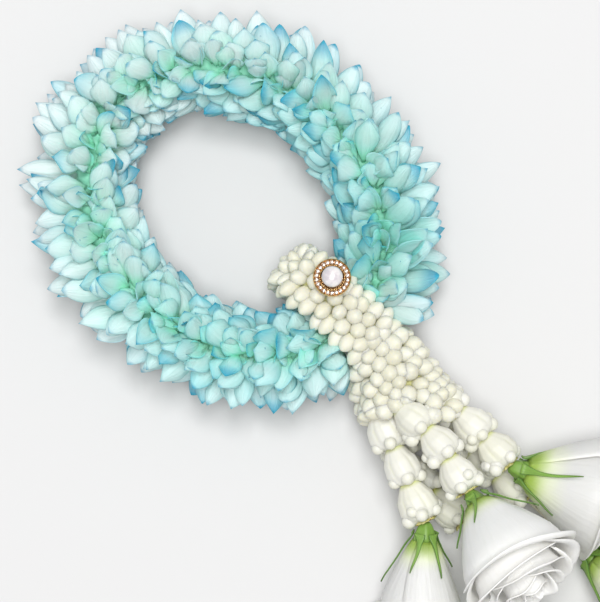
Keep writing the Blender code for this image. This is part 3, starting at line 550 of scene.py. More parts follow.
# Where a row's petals point round the core line, in degrees from outward over the top, and the next row's
PETAL_PLACES = (
    (-18, 6, 26, 46, 64, 118, 136, 156, 174, 198, 226, 262),
    (-34, -6, 16, 36, 56, 124, 146, 165, 186, 212, 240, 290),
)
FILLERS_PER_ROW = 2
PETAL_ROOT = 3.4 * MM
PETAL_ROOT_RAISE = 4.4 * MM
ROOT_RADIUS = 6.6 * MM
PETAL_REACH = 23.5 * MM
PETAL_REACH_OUTWARD = 4.5 * MM
PETAL_REACH_DOWN = 19.4 * MM
PETAL_WIDTH = 11.2 * MM
PETAL_THICKNESS = 0.36 * MM
PETAL_LOWEST = 0.35 * MM
SETTLING_ROUNDS = 7
SETTLING_LEAN = 0.17
# Petal colours. The last green is painted shade: the dark teal green of petals in shade beside the cuff. The
# blues are dye, and are also laid on more thickly as painted shade on the shady inner side
DYED_AND_SHADE_GREENS = srgb(188, 253, 230), srgb(126, 238, 206), srgb(144, 238, 188), srgb(88, 194, 178)
DYED_AND_SHADE_BLUES = srgb(142, 232, 232), srgb(112, 216, 228), srgb(2, 162, 192), srgb(0, 128, 170)
# Where a petal's rows and columns of points lie, along it and across it
BLADE_U = np.concatenate([np.linspace(0.0, 0.84, 10), [0.90, 0.95, 0.98, 1.0]])
BLADE_V = np.array([-1.0, -0.82, -0.5, -0.2, 0.0, 0.2, 0.5, 0.82, 1.0])


def ring_point(turn):
    """The ring's core line. Turn runs clockwise seen from above, from 0 at the join."""
    return RING_CENTRE + columns_of(-RING_HALF_WIDTH * np.sin(turn), -RING_HALF_LENGTH * np.cos(turn), 0.0)


def ring_axes(turn):
    along = unit(columns_of(-RING_HALF_WIDTH * np.cos(turn), RING_HALF_LENGTH * np.sin(turn), 0.0))
    return along, np.cross(UP, along)


def ring_turns(lengths):
    """Turns at these parts of the core line's length, from 0 to 1."""
    fine = np.linspace(0.0, TAU, 2881)
    steps = np.linalg.norm(np.diff(ring_point(fine), axis=0), axis=1)
    place = np.concatenate([[0.0], np.cumsum(steps)]) / steps.sum()
    return np.interp(lengths % 1.0, place, fine)


def turned_by(first, second, angle):
    """Two directions turned by an angle in their own plane."""
    cosine, sine = np.cos(angle), np.sin(angle)
    return first * cosine + second * sine, second * cosine - first * sine


def blade_outline(u, point):
    """Half width of a petal at u along it: narrow root, full middle, pointed tip."""
    full = np.maximum(0.0, np.sin(math.pi * u ** 1.22)) ** point
    return np.maximum(full, 0.12 * (1.0 - u) + 0.02)


def blades(spec):
    """Sheets of points for petals: each a bowed, arched and twisted blade. Spec holds one value a petal."""
    u, v = BLADE_U[None, :, None], BLADE_V[None, None, :]
    of = lambda key: spec[key][:, None, None]
    along, across, face = (spec[key][:, None, :] for key in ("along", "across", "face"))
    bend = of("bow") * (0.5 - u) - of("curl") * smooth(u, 0.62, 1.0)
    tangent, normal = turned_by(along, face, bend)
    side, normal = turned_by(across, normal, of("twist") * (u - 0.3))
    steps = np.diff(BLADE_U, prepend=0.0)[None, :, None] * of("length")
    line = spec["root"][:, None, :] + np.cumsum(tangent * steps, axis=1)
    half = 0.5 * of("width") * blade_outline(u, of("point"))
    arch = np.abs(of("arch")) * (0.55 + 0.45 * np.sin(math.pi * u))
    up_or_down = np.sign(of("arch"))
    skewed = arch * (v + of("skew") * (1.0 - v * v))
    lateral = half * np.sin(skewed) / np.sin(arch)
    wave = np.sin(TAU * (of("waves") * u + of("phase")))
    ruffle = 0.28 * half * of("ruffle") * np.abs(v) ** 3 * wave * np.sign(v + 1e-9)
    crease = 0.05 * half * bell(v, 0.0, 0.16) * np.sin(math.pi * u) * up_or_down
    height = -half * (1.0 - np.cos(skewed)) / np.sin(arch) * up_or_down - ruffle - crease
    line, side, normal = (vectors[:, :, None, :] for vectors in (line, side, normal))
    points = line + side * lateral[..., None] + normal * height[..., None]
    points[..., 2] = np.maximum(points[..., 2], PETAL_LOWEST)
    return points


def lean_of(turn, polar):
    """How far a petal leans along the ring: away from the join on both sides, more on the inner side."""
    away = np.sin(turn)
    lean = np.radians(14.0) + np.radians(24.0) * 0.5 * (1.0 - np.cos(polar))
    return lean * np.sign(away) * np.abs(away) ** 0.5


def main_petals(draw):
    """Where the ring's petals start and how they point, in rows round its core line."""
    places = np.radians(np.array([PETAL_PLACES[row % 2] for row in range(PETAL_ROWS)]))
    rows = np.repeat(np.arange(PETAL_ROWS), places.shape[1])
    polar = places.ravel() + draw.uniform(-0.13, 0.13, rows.size)
    turn = ring_turns((rows + 0.5 + draw.uniform(-0.45, 0.45, rows.size)) / PETAL_ROWS)
    top = np.maximum(0.0, np.sin(polar))
    lean = lean_of(turn, polar) + draw.uniform(-0.26, 0.26, rows.size) * (1.0 + 0.3 * top)
    scale = draw.uniform(0.84, 1.06, rows.size) * (1.0 + 0.04 * top)
    depth = PETAL_ROOT + PETAL_ROOT_RAISE * smooth(np.sin(polar), 0.3, 0.95)
    return turn, polar, lean, scale, depth


def filler_petals(draw):
    """Petals along the top, which stand up and lean to either side."""
    count = FILLERS_PER_ROW * PETAL_ROWS
    turn = ring_turns((np.arange(count) + draw.uniform(-0.5, 0.5, count)) / count)
    side = np.where(np.arange(count) % 2, 1.0, -1.0)
    polar = math.pi / 2 + side * draw.uniform(0.12, 0.62, count)
    lean = lean_of(turn, polar) + draw.uniform(-0.5, 0.5, count)
    scale = draw.uniform(0.62, 0.92, count)
    depth = draw.uniform(6.0, 8.0, count) * MM
    return turn, polar, lean, scale, depth


def reach_in_view(outward):
    """How much less far the petals reach on each side of the ring as the camera sees it."""
    right = outward[:, 0] * math.sin(VIEW_TURN) - outward[:, 1] * math.cos(VIEW_TURN)
    up = outward[:, 0] * math.cos(VIEW_TURN) + outward[:, 1] * math.sin(VIEW_TURN)
    square = lambda part: np.maximum(0.0, part) ** 2
    return (-0.6 * square(-right) - 1.8 * square(right) - 4.8 * square(up) - 6.0 * square(-up)) * MM


def petal_specs(extra_lean):
    """Every petal of the ring. Extra lean is a further lean away from the join, one value a petal."""
    draw = np.random.default_rng(11)
    both = zip(main_petals(draw), filler_petals(draw))
    turn, polar, lean, scale, depth = (np.concatenate(pair) for pair in both)
    count = turn.size
    filler = np.arange(count) >= PETAL_ROWS * len(PETAL_PLACES[0])
    around = lambda reach: draw.uniform(-reach, reach, count)
    between = lambda low, high: draw.uniform(low, high, count)
    polar = (polar + math.pi / 2) % TAU - math.pi / 2
    top = np.maximum(0.0, np.sin(polar))
    lean = lean + extra_lean * np.sign(np.sin(turn))
    along, outward = ring_axes(turn)
    pointing = lambda angle: outward * np.cos(angle)[:, None] + UP * np.sin(angle)[:, None]
    reach = (PETAL_REACH + PETAL_REACH_OUTWARD * np.cos(polar)) * scale
    reach = reach + reach_in_view(outward) * np.maximum(0.0, np.cos(polar))
    reach = np.minimum(reach, PETAL_REACH_DOWN / np.maximum(0.05, -np.sin(polar)))
    root_polar = polar + (math.pi / 2 - polar) * 0.75 * smooth(np.sin(polar), 0.2, 0.9)
    axis = unit(pointing(polar) * np.cos(lean)[:, None] + along * np.sin(lean)[:, None])
    axis = unit(axis + UP * around(0.10)[:, None])
    face = unit(UP - axis * axis[:, 2:])
    spin = around(0.42) * np.where(filler, 2.0, 1.0)
    face, across = turned_by(face, np.cross(face, axis), spin[:, None])
    cupped = draw.random(count) < np.where(filler, 0.35, 0.05 + 0.10 * top)
    return {
        "turn": turn,
        "polar": polar,
        "filler": filler,
        "root": ring_point(turn) + pointing(root_polar) * depth[:, None],
        "along": axis,
        "across": across,
        "face": face,
        "length": 1.06 * (reach - depth) / np.cos(np.clip(lean, -0.6, 0.6)),
        "width": PETAL_WIDTH * between(0.74, 1.06) * np.where(filler, 0.82, 1.0),
        "point": between(0.62, 1.12),
        "bow": between(0.25, 0.8) * np.where(cupped, -0.5, 1.0),
        "curl": between(-0.25, 0.45),
        "twist": around(0.4),
        "arch": np.where(cupped, -0.9, 1.0) * between(0.8, 1.35),
        "skew": around(0.2),
        "waves": between(0.8, 2.2),
        "phase": draw.random(count),
        "ruffle": draw.random(count) ** 2 * 0.6,
        "green": draw.random(count),
        "dye": draw.random(count),
        "lilac": draw.random(count),
    }


def petal_tints(spec):
    """The smooth part of each petal's colour: mint root, aqua or white body, lilac tip, with painted shade
    and painted light: more aqua and teal on the shady inner side, dark teal green beside the cuff, whiter
    petals on the top and inner side of the far arc, and a middle that is whiter partly as a painted
    highlight.
    """
    mint, ridge_mint, leaf, cuff_shade_green = DYED_AND_SHADE_GREENS
    aqua, edge_aqua, teal, deep_blue = DYED_AND_SHADE_BLUES
    white, pale = srgb(226, 247, 244), srgb(226, 237, 244)
    u, v = BLADE_U[None, :, None, None], np.abs(BLADE_V)[None, None, :, None]
    keys = ("turn", "polar", "green", "dye", "lilac", "filler")
    turn, polar, green, dye, lilac, filler = (spec[key][:, None, None, None] for key in keys)
    share = lambda value: np.clip(value, 0.0, 1.0)
    top, inner = share(np.sin(polar)), share(-np.cos(polar))
    outer = 0.5 * (1.0 + np.cos(polar))
    low_side = bell(turn, 0.9, 0.8) + 0.6 * bell(turn, 5.3, 0.7)
    # Painted shade: the shady inner side, most of all round turn 4.5, is painted with more aqua and teal
    # below
    shady = inner * (0.15 + 0.85 * bell(turn, 4.5, 1.0))
    far, by_cuff = bell(turn, 3.3, 0.8), bell(turn, 5.75, 0.32)
    bluish = 0.55 * low_side * (1.0 - 0.6 * inner) + 0.4 * (green < 0.2) * (1.0 - 0.6 * outer)
    body = towards(white, pale, lilac)
    body = towards(body, mint, share(1.05 * top * (0.08 + 1.1 * green) + 0.12 * (1.0 - outer)))
    body = towards(body, aqua, share(bluish))
    body = towards(body, aqua, share(0.9 * shady * (0.5 + dye)))
    # Painted light: the top and inner petals of the far arc are whitened because they get little light
    body = towards(body, white, 0.6 * far * (top + inner) * (green < 0.8))
    # Painted shade: petals beside the cuff are painted dark teal green, the colour of their shade
    body = towards(body, cuff_shade_green, 0.75 * by_cuff * (0.35 + 0.65 * green))
    body = towards(body, ridge_mint, 0.6 * filler * (green > 0.45))
    # Whiter down each petal's middle: partly the less dyed middle, partly a painted highlight on the convex
    # face
    body = towards(body, white, 0.35 * (1.0 - v) * smooth(u, 0.3, 0.6) * (1.0 - by_cuff))
    body = towards(body, edge_aqua, 0.5 * smooth(v, 0.35, 1.0) * (0.25 + 0.75 * dye) * smooth(u, 0.15, 0.5))
    root = towards(mint, leaf, 0.3 + 0.7 * green)
    tint = towards(root, body, smooth(u, 0.08, 0.60 - 0.18 * outer))
    tip = towards(pale, aqua, share(0.5 * top + 0.5 * low_side + 0.3 * (dye - 0.5) + 0.6 * shady))
    tint = towards(tint, tip, 0.6 * smooth(u, 0.66, 1.0))
    # Teal, partly dye and partly painted shade: laid on more thickly where the inner side is shady
    dyed = share((dye - 0.70 + 0.26 * shady + 0.06 * low_side) / 0.2)
    dyed = dyed * (0.06 + 0.3 * shady + (0.94 - 0.3 * shady) * smooth(u, 0.50, 0.95))
    tint = towards(tint, teal, dyed * (0.55 + 0.45 * v * v))
    deepest = share((dye - 0.86 + 0.1 * shady) / 0.08)
    return towards(tint, deep_blue, 0.75 * deepest * smooth(u, 0.62, 0.96))


def petal_fields(spec):
    """Place along and across each petal, how strong its dye is at the rim, and its tint."""
    along, across = BLADE_U[None, :, None], 0.5 + 0.5 * BLADE_V[None, None, :]
    dye = 0.1 + 0.9 * spec["dye"][:, None, None] ** 3
    return np.concatenate([columns_of(along, across, dye), petal_tints(spec)], -1)


def clear_of_cuff(points):
    """Whether a petal keeps out of what the cuff's arms, its bend and the neck hold, measured in mm."""
    x, y, z = np.moveaxis(points, -1, 0) / MM
    offset = x - cuff_drift(points[..., 1]) / MM
    beside = np.where(offset < 0.0, -offset - 3.0, offset) < 9.0
    arms = beside & (y > -80.0) & (y < -34.0) & (np.abs(z - RING_CENTRE[2] / MM) > 7.5)
    bend = beside & (y > -44.0) & (y < -30.0)
    neck = (y < -74.0) & (x > -14.5) & (x < 7.5)
    return ~(arms | bend | neck).any(axis=(1, 2))


def settled_petals():
    """The petals, those by the cuff leaned away from it until they are clear of it."""
    extra = np.zeros(PETAL_ROWS * (len(PETAL_PLACES[0]) + FILLERS_PER_ROW))
    for _ in range(SETTLING_ROUNDS):
        spec = petal_specs(extra)
        points = blades(spec)
        keep = clear_of_cuff(points)
        extra[~keep] += SETTLING_LEAN
    return spec, points, keep


def build_roots():
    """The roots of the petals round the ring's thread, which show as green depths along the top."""
    turn = TAU * np.arange(361)[:, None] / 360
    angle = TAU * np.arange(22) / 22
    _, outward = ring_axes(turn)
    swell = 1.0 + 0.10 * np.sin(29.0 * turn + 3.0 * angle) + 0.08 * np.sin(61.0 * turn - 2.0 * angle)
    radius = (ROOT_RADIUS * swell * (1.0 - 0.15 * bell(np.sin(0.5 * turn), 0.0, 0.12)))[..., None]
    ring = outward * radius * np.cos(angle)[:, None] + UP * radius * np.sin(angle)[:, None]
    add_piece("petal_roots", round_bodies((ring_point(turn) + ring)[None]), "roots")


def build_ring():
    spec, points, keep = settled_petals()
    fields = petal_fields(spec)
    u, v = BLADE_U[None, :, None], np.abs(BLADE_V)[None, None, :]
    thickness = PETAL_THICKNESS * (0.35 + 0.65 * (1.0 - v ** 3)) * (1.0 - 0.35 * u)
    bounds = ring_turns(np.arange(RING_SEGMENTS) / RING_SEGMENTS)
    segment = np.searchsorted(bounds, spec["turn"], side="right")
    for number in range(1, RING_SEGMENTS + 1):
        chosen = keep & (segment == number)
        part = shells(points[chosen], thickness, fields[chosen])
        add_piece(f"dyed_petals_{number:02d}", part, "petal", f"petal_ring_{number:02d}")


# Jasmine cuff and neck


CUFF_BACK_RADIUS = 9.8 * MM
CUFF_HALF_WIDTH = 7.0 * MM
CUFF_CORE_DEPTH = 5.0 * MM
CUFF_OUTER_END = -75.6 * MM
CUFF_BEND = -47.0 * MM
CUFF_ARM_LENGTH = CUFF_BEND - CUFF_OUTER_END
CUFF_BEND_LENGTH = math.pi * CUFF_BACK_RADIUS
CUFF_DRIFT = 5.0 * MM
CUFF_DRIFT_FROM = -50.0 * MM
CUFF_DRIFT_RUN = 24.0 * MM
# The degrees that a row's buds point to on either side of the strip's back, and the next row's
CUFF_ROWS = ((-84.0, -42.0, 0.0, 42.0, 84.0), (-64.0, -21.0, 21.0, 64.0))
# Where each part of the strip starts and ends along it, and the space between its rows
CUFF_SPANS = {
    "top": (-2.6 * MM, CUFF_ARM_LENGTH, 5.3 * MM),
    "bend": (CUFF_ARM_LENGTH, CUFF_ARM_LENGTH + CUFF_BEND_LENGTH, 3.5 * MM),
    "under": (CUFF_ARM_LENGTH + CUFF_BEND_LENGTH, 2.0 * CUFF_ARM_LENGTH + CUFF_BEND_LENGTH, 5.6 * MM),
}
CUFF_BEND_MARGIN = 6.0 * MM
CUFF_BEND_SWELL = 0.8
CUFF_EDGE_FROM = 60.0
CUFF_EDGE_RAISE = 1.9 * MM
BUD_LENGTH = 12.4 * MM
BUD_RADIUS = 3.3 * MM
BUD_STAND = 5.5 * MM
BUD_OUTLINE = (
    (0.0, 0.15, 0.35, 0.52, 0.66, 0.78, 0.88, 0.95, 1.0),
    (0.34, 0.5, 0.76, 0.95, 1.0, 0.93, 0.72, 0.46, 0.16),
)
BUD_LOBES = 5
# The neck's sections in mm: where the middle is, half width and half height
NECK_SECTIONS = (
    (-1.0, -76.0, 20.0, 9.0, 12.6),
    (-4.6, -84.5, 19.4, 11.4, 13.4),
    (-8.0, -93.0, 18.8, 13.6, 13.9),
    (-11.5, -101.0, 18.4, 15.2, 13.9),
)
NECK_LENGTH = 27.0 * MM
NECK_BUD_ROWS = 6
NECK_TAIL_ROWS = 3
NECK_BUD_SPACING = 7.1 * MM
NECK_TAIL_SPACING = 6.0 * MM
NECK_BUD_SWELL = 1.08
NECK_TAIL_SPREAD = 3.0 * MM


def cuff_drift(y):
    past = np.maximum(0.0, (y - CUFF_DRIFT_FROM) / CUFF_DRIFT_RUN)
    return RING_CENTRE[0] - CUFF_DRIFT * past * past


def cuff_point(s):
    """A point on the strip's back and its outward direction, at s along it from its top outer end."""
    past = s - CUFF_ARM_LENGTH
    angle = np.clip(past / CUFF_BACK_RADIUS, 0.0, math.pi)
    outward = np.array((0.0, math.sin(angle), math.cos(angle)))
    straight = min(past, 0.0) - max(past - CUFF_BEND_LENGTH, 0.0)
    y = CUFF_BEND + straight + CUFF_BACK_RADIUS * outward[1]
    return np.array((cuff_drift(y), y, RING_CENTRE[2] + CUFF_BACK_RADIUS * outward[2])), outward


def buds(places, draw):
    """Jasmine buds from (root, direction, length, radius) each: ovals with faint lobes and a blunt point."""
    u = (0.5 - 0.5 * np.cos(math.pi * np.linspace(0.04, 0.985, 13)))[:, None]
    angle = TAU * np.arange(20) / 20
    bodies, fields = [], []
    for root, direction, length, radius in places:
        turn = draw.uniform(0.0, TAU)
        lobes = 1.0 + 0.03 * np.cos(BUD_LOBES * (angle + turn) + 2.4 * u) * smooth(u, 0.25, 0.9)
        squash = 1.0 + draw.uniform(-0.06, 0.06)
        lean = draw.uniform(-0.05, 0.05, 2) * length
        local = round_axis(radius * np.interp(u, *BUD_OUTLINE) * lobes, angle, length * u)
        local = local * (squash, 1.0 / squash, 1.0) + u[..., None] ** 2 * (*lean, 0.0)
        bodies.append(to_world(local, root, direction))
        fields.append(columns_of(u, 0.0 * angle, draw.random()))
    return round_bodies(np.array(bodies), np.array(fields))


def cuff_bud_places(start, end, spacing, draw):
    rows = round((end - start) / spacing)
    bend_from = CUFF_ARM_LENGTH + CUFF_BEND_MARGIN
    bend_to = CUFF_ARM_LENGTH + CUFF_BEND_LENGTH - CUFF_BEND_MARGIN
    places = []
    for row in range(rows):
        s = start + (end - start) * (row + 0.5) / rows
        swell = CUFF_BEND_SWELL if bend_from < s < bend_to else 1.0
        point, outward = cuff_point(s)
        for degrees in CUFF_ROWS[row % 2]:
            angle = math.radians(degrees + draw.uniform(-5.0, 5.0))
            sine, cosine = math.sin(angle), math.cos(angle)
            left = max(0.0, -sine) ** 2
            direction = outward * cosine + (sine, 0.0, 0.0)
            skin = point + outward * (CUFF_CORE_DEPTH * cosine) + (CUFF_HALF_WIDTH * sine, 0.0, 0.0)
            length = BUD_LENGTH * draw.uniform(0.94, 1.04) * (1.0 + 0.14 * left)
            stand = BUD_STAND * (1.0 + 0.12 * abs(sine) + 0.5 * left) * draw.uniform(0.92, 1.0) * swell
            root = skin - direction * (length - stand)
            if abs(degrees) > CUFF_EDGE_FROM:
                root = root + outward * CUFF_EDGE_RAISE
            tilt = (0.0, draw.uniform(-0.1, 0.1), draw.uniform(-0.05, 0.05))
            radius = BUD_RADIUS * draw.uniform(0.92, 1.04) * (0.5 + 0.5 * swell)
            places.append((root, direction + tilt, length, radius))
    return places


def strip_core(start, end):
    """The half round core of the strip, as a ring of points at each place along it."""
    angle = math.pi * np.arange(11) / 10
    across = 0.94 * CUFF_HALF_WIDTH * columns_of(np.cos(angle), 0.0, 0.0)
    rise = (0.9 * CUFF_CORE_DEPTH * np.sin(angle))[:, None]
    backs = [cuff_point(start + (end - start) * index / 24) for index in range(25)]
    return np.array([[point + across + outward * rise for point, outward in backs]])


def neck_frame(t):
    """The neck's middle, half width, half height, side and heading at t along it, straight on past 1."""
    place = min(t, 1.0) * (len(NECK_SECTIONS) - 1)
    index = min(int(place), len(NECK_SECTIONS) - 2)
    part = place - index
    low, high = (np.array(section) for section in NECK_SECTIONS[index : index + 2])
    heading = unit((high - low)[:3] * (1.0, 1.0, 0.0))
    if index == 0:
        heading = unit(towards(np.array((0.0, -1.0, 0.0)), heading, part))
    x, y, z, wide, tall = towards(low, high, part) * MM
    centre = np.array((x, y, z)) + heading * max(0.0, t - 1.0) * NECK_LENGTH
    return centre, wide, tall, np.cross(heading, UP), heading


def neck_bud_places(draw):
    places = []
    for row in range(NECK_BUD_ROWS + NECK_TAIL_ROWS):
        centre, wide, tall, side, heading = neck_frame((row + 0.25) / NECK_BUD_ROWS)
        if row > NECK_BUD_ROWS:
            wide, tall = wide + NECK_TAIL_SPREAD, tall + NECK_TAIL_SPREAD
        girth = math.pi * (wide + tall + 1.3 * BUD_STAND)
        count = round(girth / (NECK_TAIL_SPACING if row >= NECK_BUD_ROWS else NECK_BUD_SPACING))
        for number in range(count):
            angle = TAU * (number + 0.5 * (row % 2) + draw.uniform(-0.12, 0.12)) / count
            sine, cosine = math.sin(angle), math.cos(angle)
            if row > NECK_BUD_ROWS and not -0.5 < sine < -2.2 * cosine:
                continue
            skin = centre + side * (wide * cosine) + UP * (tall * sine)
            skin = skin + heading * draw.uniform(-0.8, 0.8) * MM
            direction = unit(side * (cosine / wide) + UP * (sine / tall))
            length = BUD_LENGTH * draw.uniform(0.92, 1.08)
            root = skin - direction * (length - BUD_STAND * draw.uniform(0.88, 1.16))
            tilt = heading * draw.uniform(0.0, 0.35) + side * draw.uniform(-0.1, 0.1)
            radius = BUD_RADIUS * NECK_BUD_SWELL * draw.uniform(0.86, 1.08)
            places.append((root, direction + tilt, length, radius))
    return places


def neck_core():
    angle = (TAU * np.arange(24) / 24)[:, None]
    sections = []
    for t in np.linspace(0.02, 0.98, 12):
        centre, wide, tall, side, _ = neck_frame(t)
        sections.append(centre + 0.93 * (side * (wide * np.cos(angle)) + UP * (tall * np.sin(angle))))
    return np.array([sections])


def build_jasmine():
    """Packed buds over their cores."""
    draw = np.random.default_rng(5)
    for span, (start, end, spacing) in CUFF_SPANS.items():
        part = buds(cuff_bud_places(start, end, spacing, draw), draw)
        add_piece(f"buds_cuff_{span}", part, "bud", f"jasmine_cuff_{span}")
        add_piece(f"buds_cuff_{span}_core", round_bodies(strip_core(start, end)), "core")
    add_piece("buds_neck", buds(neck_bud_places(draw), draw), "bud", "jasmine_neck")
    add_piece("buds_neck_core", round_bodies(neck_core()), "core")


# Brooch


BROOCH = np.array((4.4, -49.0)) * MM
PEARL_RADIUS = 4.2
PEARL_FLATNESS = 0.72
STONE_CIRCLE = 6.125
STONES = 22
BEAD_CIRCLE = 4.9
BEADS = 34
BROOCH_TILT = math.radians(9.0)
BROOCH_PRESS = 0.5 * MM
# Turned outlines: radii, and heights from the brooch's or the stone's middle, in mm
CUP_OUTLINE = (
    (0.5, 6.3, 7.1, 7.5, 7.5, 7.3, 6.95, 6.85, 5.4, 5.3, 4.8, 4.5, 4.3, 0.5),
    (0.0, 0.0, 0.6, 1.6, 2.1, 2.35, 2.1, 1.0, 1.0, 1.8, 2.1, 1.8, 0.9, 0.9),
)
BED_OUTLINE = ((5.36, 5.36, 6.89, 6.89), (0.9, 1.15, 1.15, 0.9))
STONE_OUTLINE = ((0.15, 0.85, 0.85, 0.5, 0.05), (-0.3, 0.35, 0.5, 0.85, 0.9))


def turned(outline, around, wave=None):
    """A closed turned body from an outline: radii, and heights for them, in mm."""
    radius, height = np.array(outline)[..., None] * MM
    angle = TAU * np.arange(around) / around
    return round_axis(radius * (1.0 if wave is None else wave(angle)), angle, height)[None]


def balls(centres, radii, rings=7, around=10, flatness=1.0):
    polar = (math.pi * (np.arange(rings) + 0.5) / rings)[:, None]
    shape = round_axis(np.sin(polar), TAU * np.arange(around) / around, -flatness * np.cos(polar))
    radii = np.broadcast_to(radii, len(centres))
    return centres[:, None, None, :] + shape * radii[:, None, None, None]


def circle_of(count, radius, height, part=0.5):
    """Places in mm round a circle, the first of them part of a step round it."""
    return round_axis(radius, TAU * (np.arange(count) + part) / count, height) * MM


def build_brooch():
    up_in_view = np.array((math.cos(VIEW_TURN), math.sin(VIEW_TURN), 0.0))
    facing = UP * math.cos(BROOCH_TILT) + up_in_view * math.sin(BROOCH_TILT)
    seat = np.array((*BROOCH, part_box("brooch_cup")[0][2] - BROOCH_PRESS))

    def piece(name, points, finish, *replaced, sharp=None):
        add_piece(name, round_bodies(to_world(points, seat, facing)), finish, *replaced, sharp=sharp)

    stones = turned(STONE_OUTLINE, 8) + circle_of(STONES, STONE_CIRCLE, 1.3)[:, None, None, :]
    claws = [balls(circle_of(STONES, k * STONE_CIRCLE, 2.0, 1.0), 0.26 * MM, 5, 6) for k in (0.88, 1.12)]
    lift = 1.2 + PEARL_FLATNESS * PEARL_RADIUS
    piece("brooch_gold_cup", turned(CUP_OUTLINE, 72), "gold", "brooch_cup", sharp=50)
    piece("brooch_gold_beads", balls(circle_of(BEADS, BEAD_CIRCLE, 2.1), 0.40 * MM), "gold")
    piece("brooch_bed", turned(BED_OUTLINE, 72), "dark gold", sharp=50)
    piece("brooch_crystals", stones, "stone", "brooch_stones", sharp=12)
    piece("brooch_claws", np.concatenate(claws), "dark gold")
    pearl = balls(np.array([(0.0, 0.0, lift)]) * MM, PEARL_RADIUS * MM, 26, 44, PEARL_FLATNESS)
    piece("brooch_round_pearl", pearl, "pearl", "brooch_pearl")


# Crown flowers, hips and roses


# Each strand in mm: its flowers' middles, where its hip starts if that isn't at its last flower, and its rose
STRANDS = {
    "a": {
        "flowers": ((-25.5, -105.5, 22.5), (-32.0, -119.0, 22.5), (-38.6, -133.6, 22.5)),
        "rose": (-0.776, -0.632, -0.17),
        "radius": 18.6,
    },
    "b": {
        "flowers": ((-15.2, -109.6, 32.5), (-15.0, -123.4, 34.5), (-19.4, -137.2, 35.0)),
        "rose": (-0.217, -0.874, 0.5),
        "radius": 24.0,
    },
    "c": {
        "flowers": ((-1.8, -114.6, 22.0), (-1.2, -129.2, 22.0), (-3.1, -143.4, 22.0)),
        "rose": (0.42, -0.90, -0.10),
        "radius": 20.0,
    },
    "d": {
        "flowers": ((-9.0, -113.8, 8.0), (-9.6, -129.2, 7.6), (-9.8, -144.2, 7.6), (-9.2, -159.2, 7.6)),
        "hip": (-9.4, -198.0, 6.0),
        "rose": (0.08, -0.86, 0.31),
        "radius": 21.0,
    },
    "e": {
        "flowers": ((-24.5, -111.5, 8.0), (-34.0, -127.0, 7.6), (-32.5, -145.5, 7.6)),
        "hip": (-52.0, -177.0, 6.0),
        "rose": (0.04, -0.84, 0.24),
        "radius": 18.6,
    },
}
CLEARANCE = 0.4 * MM
TAIL_EASE = 0.6 * MM
FLOWER_LENGTH = 15.0 * MM
FLOWER_GAP = 0.9 * MM
FLOWER_OVERLAP = 1.6 * MM
FIFTH = TAU / 5
# How far along a flower, its reach in mm, and how much of that each lobe swells
FLOWER_OUTLINE = ((0.0, 0.12, 0.4, 0.7, 0.9, 1.0), (3.2, 4.7, 7.3, 8.0, 6.8, 3.4))
FLOWER_SWELL = ((0.0, 0.3, 0.8, 1.0), (0.78, 0.75, 0.69, 0.70))
KNOB_SHOULDER = 0.66
STAR_OUTLINE = ((1.3, 2.5, 3.0, 2.8, 1.3), (-0.8, -0.6, 0.1, 0.4, 0.3))
STAR_TEETH = 10
STAR_END_SPREAD = 1.45
STAR_END_LIFT = 0.35 * MM


def strand_joints(strand):
    """The places between a strand's flowers, with one before the first and one after the last."""
    stops = np.array(strand["flowers"]) * MM
    middles = 0.5 * (stops[1:] + stops[:-1])
    return np.concatenate([[2.0 * stops[0] - middles[0]], middles, [2.0 * stops[-1] - middles[-1]]])


def flower_body(length, draw):
    """A crown flower: five pleated lobes from a narrow top, which swell and then draw in at the knobs."""
    t = np.linspace(0.0, 1.0, 22)[:, None]
    angle = TAU * np.arange(100) / 100
    spin = draw.uniform(0.0, TAU) + 0.25 * t
    lobe_angle = (angle + spin + 0.5 * FIFTH) % FIFTH - 0.5 * FIFTH
    part = lobe_angle / (0.5 * FIFTH)
    reach = np.interp(t, *FLOWER_OUTLINE) * MM
    swell = reach * np.interp(t, *FLOWER_SWELL)
    centre = reach - swell
    lobes = centre * np.cos(lobe_angle)
    lobes = lobes + np.sqrt(np.maximum(swell ** 2 - (centre * np.sin(lobe_angle)) ** 2, 0.0))
    uneven = lambda times: np.cos(times * angle - draw.uniform(0.0, TAU))
    wobble = 0.06 * uneven(1.0) + 0.05 * uneven(2.0)
    pleats = 0.05 * MM * np.cos(15.0 * (angle + spin) + 2.0 * t) * np.sin(math.pi * t)
    ridge = 0.16 * MM * bell(part, 0.0, 0.12) * np.sin(math.pi * t) ** 2
    points = round_axis(lobes * (1.0 + wobble) + ridge + pleats, angle, (t - 0.5) * length)
    fold = part ** 2 * np.sin(math.pi * np.clip(t, 0.08, 0.92))
    return points, columns_of(t, fold, draw.random()), float(spin[-1, 0])


def flower_knobs(length, spin, draw):
    """Round knobs at the wide end: five in line with the lobes, with their shoulders, and two loose ones."""
    knobs = []
    for number in range(5):
        angle = number * FIFTH - spin + draw.uniform(-0.08, 0.08)
        reach = draw.uniform(5.6, 7.0) * MM
        height = length * draw.uniform(0.32, 0.42)
        radius = draw.uniform(2.4, 3.0) * MM
        knobs.append((reach, angle, height, radius))
        knobs.append((KNOB_SHOULDER * reach, angle, height * (0.35 + 0.65 * KNOB_SHOULDER), 1.25 * radius))
    for _ in range(2):
        angle = draw.uniform(0.0, TAU)
        reach = draw.uniform(6.4, 7.4) * MM
        height = length * draw.uniform(0.10, 0.30)
        knobs.append((reach, angle, height, draw.uniform(2.1, 2.6) * MM))
    reach, angle, height, radius = np.array(knobs).T
    return balls(round_axis(reach, angle, height), radius, 10, 14)


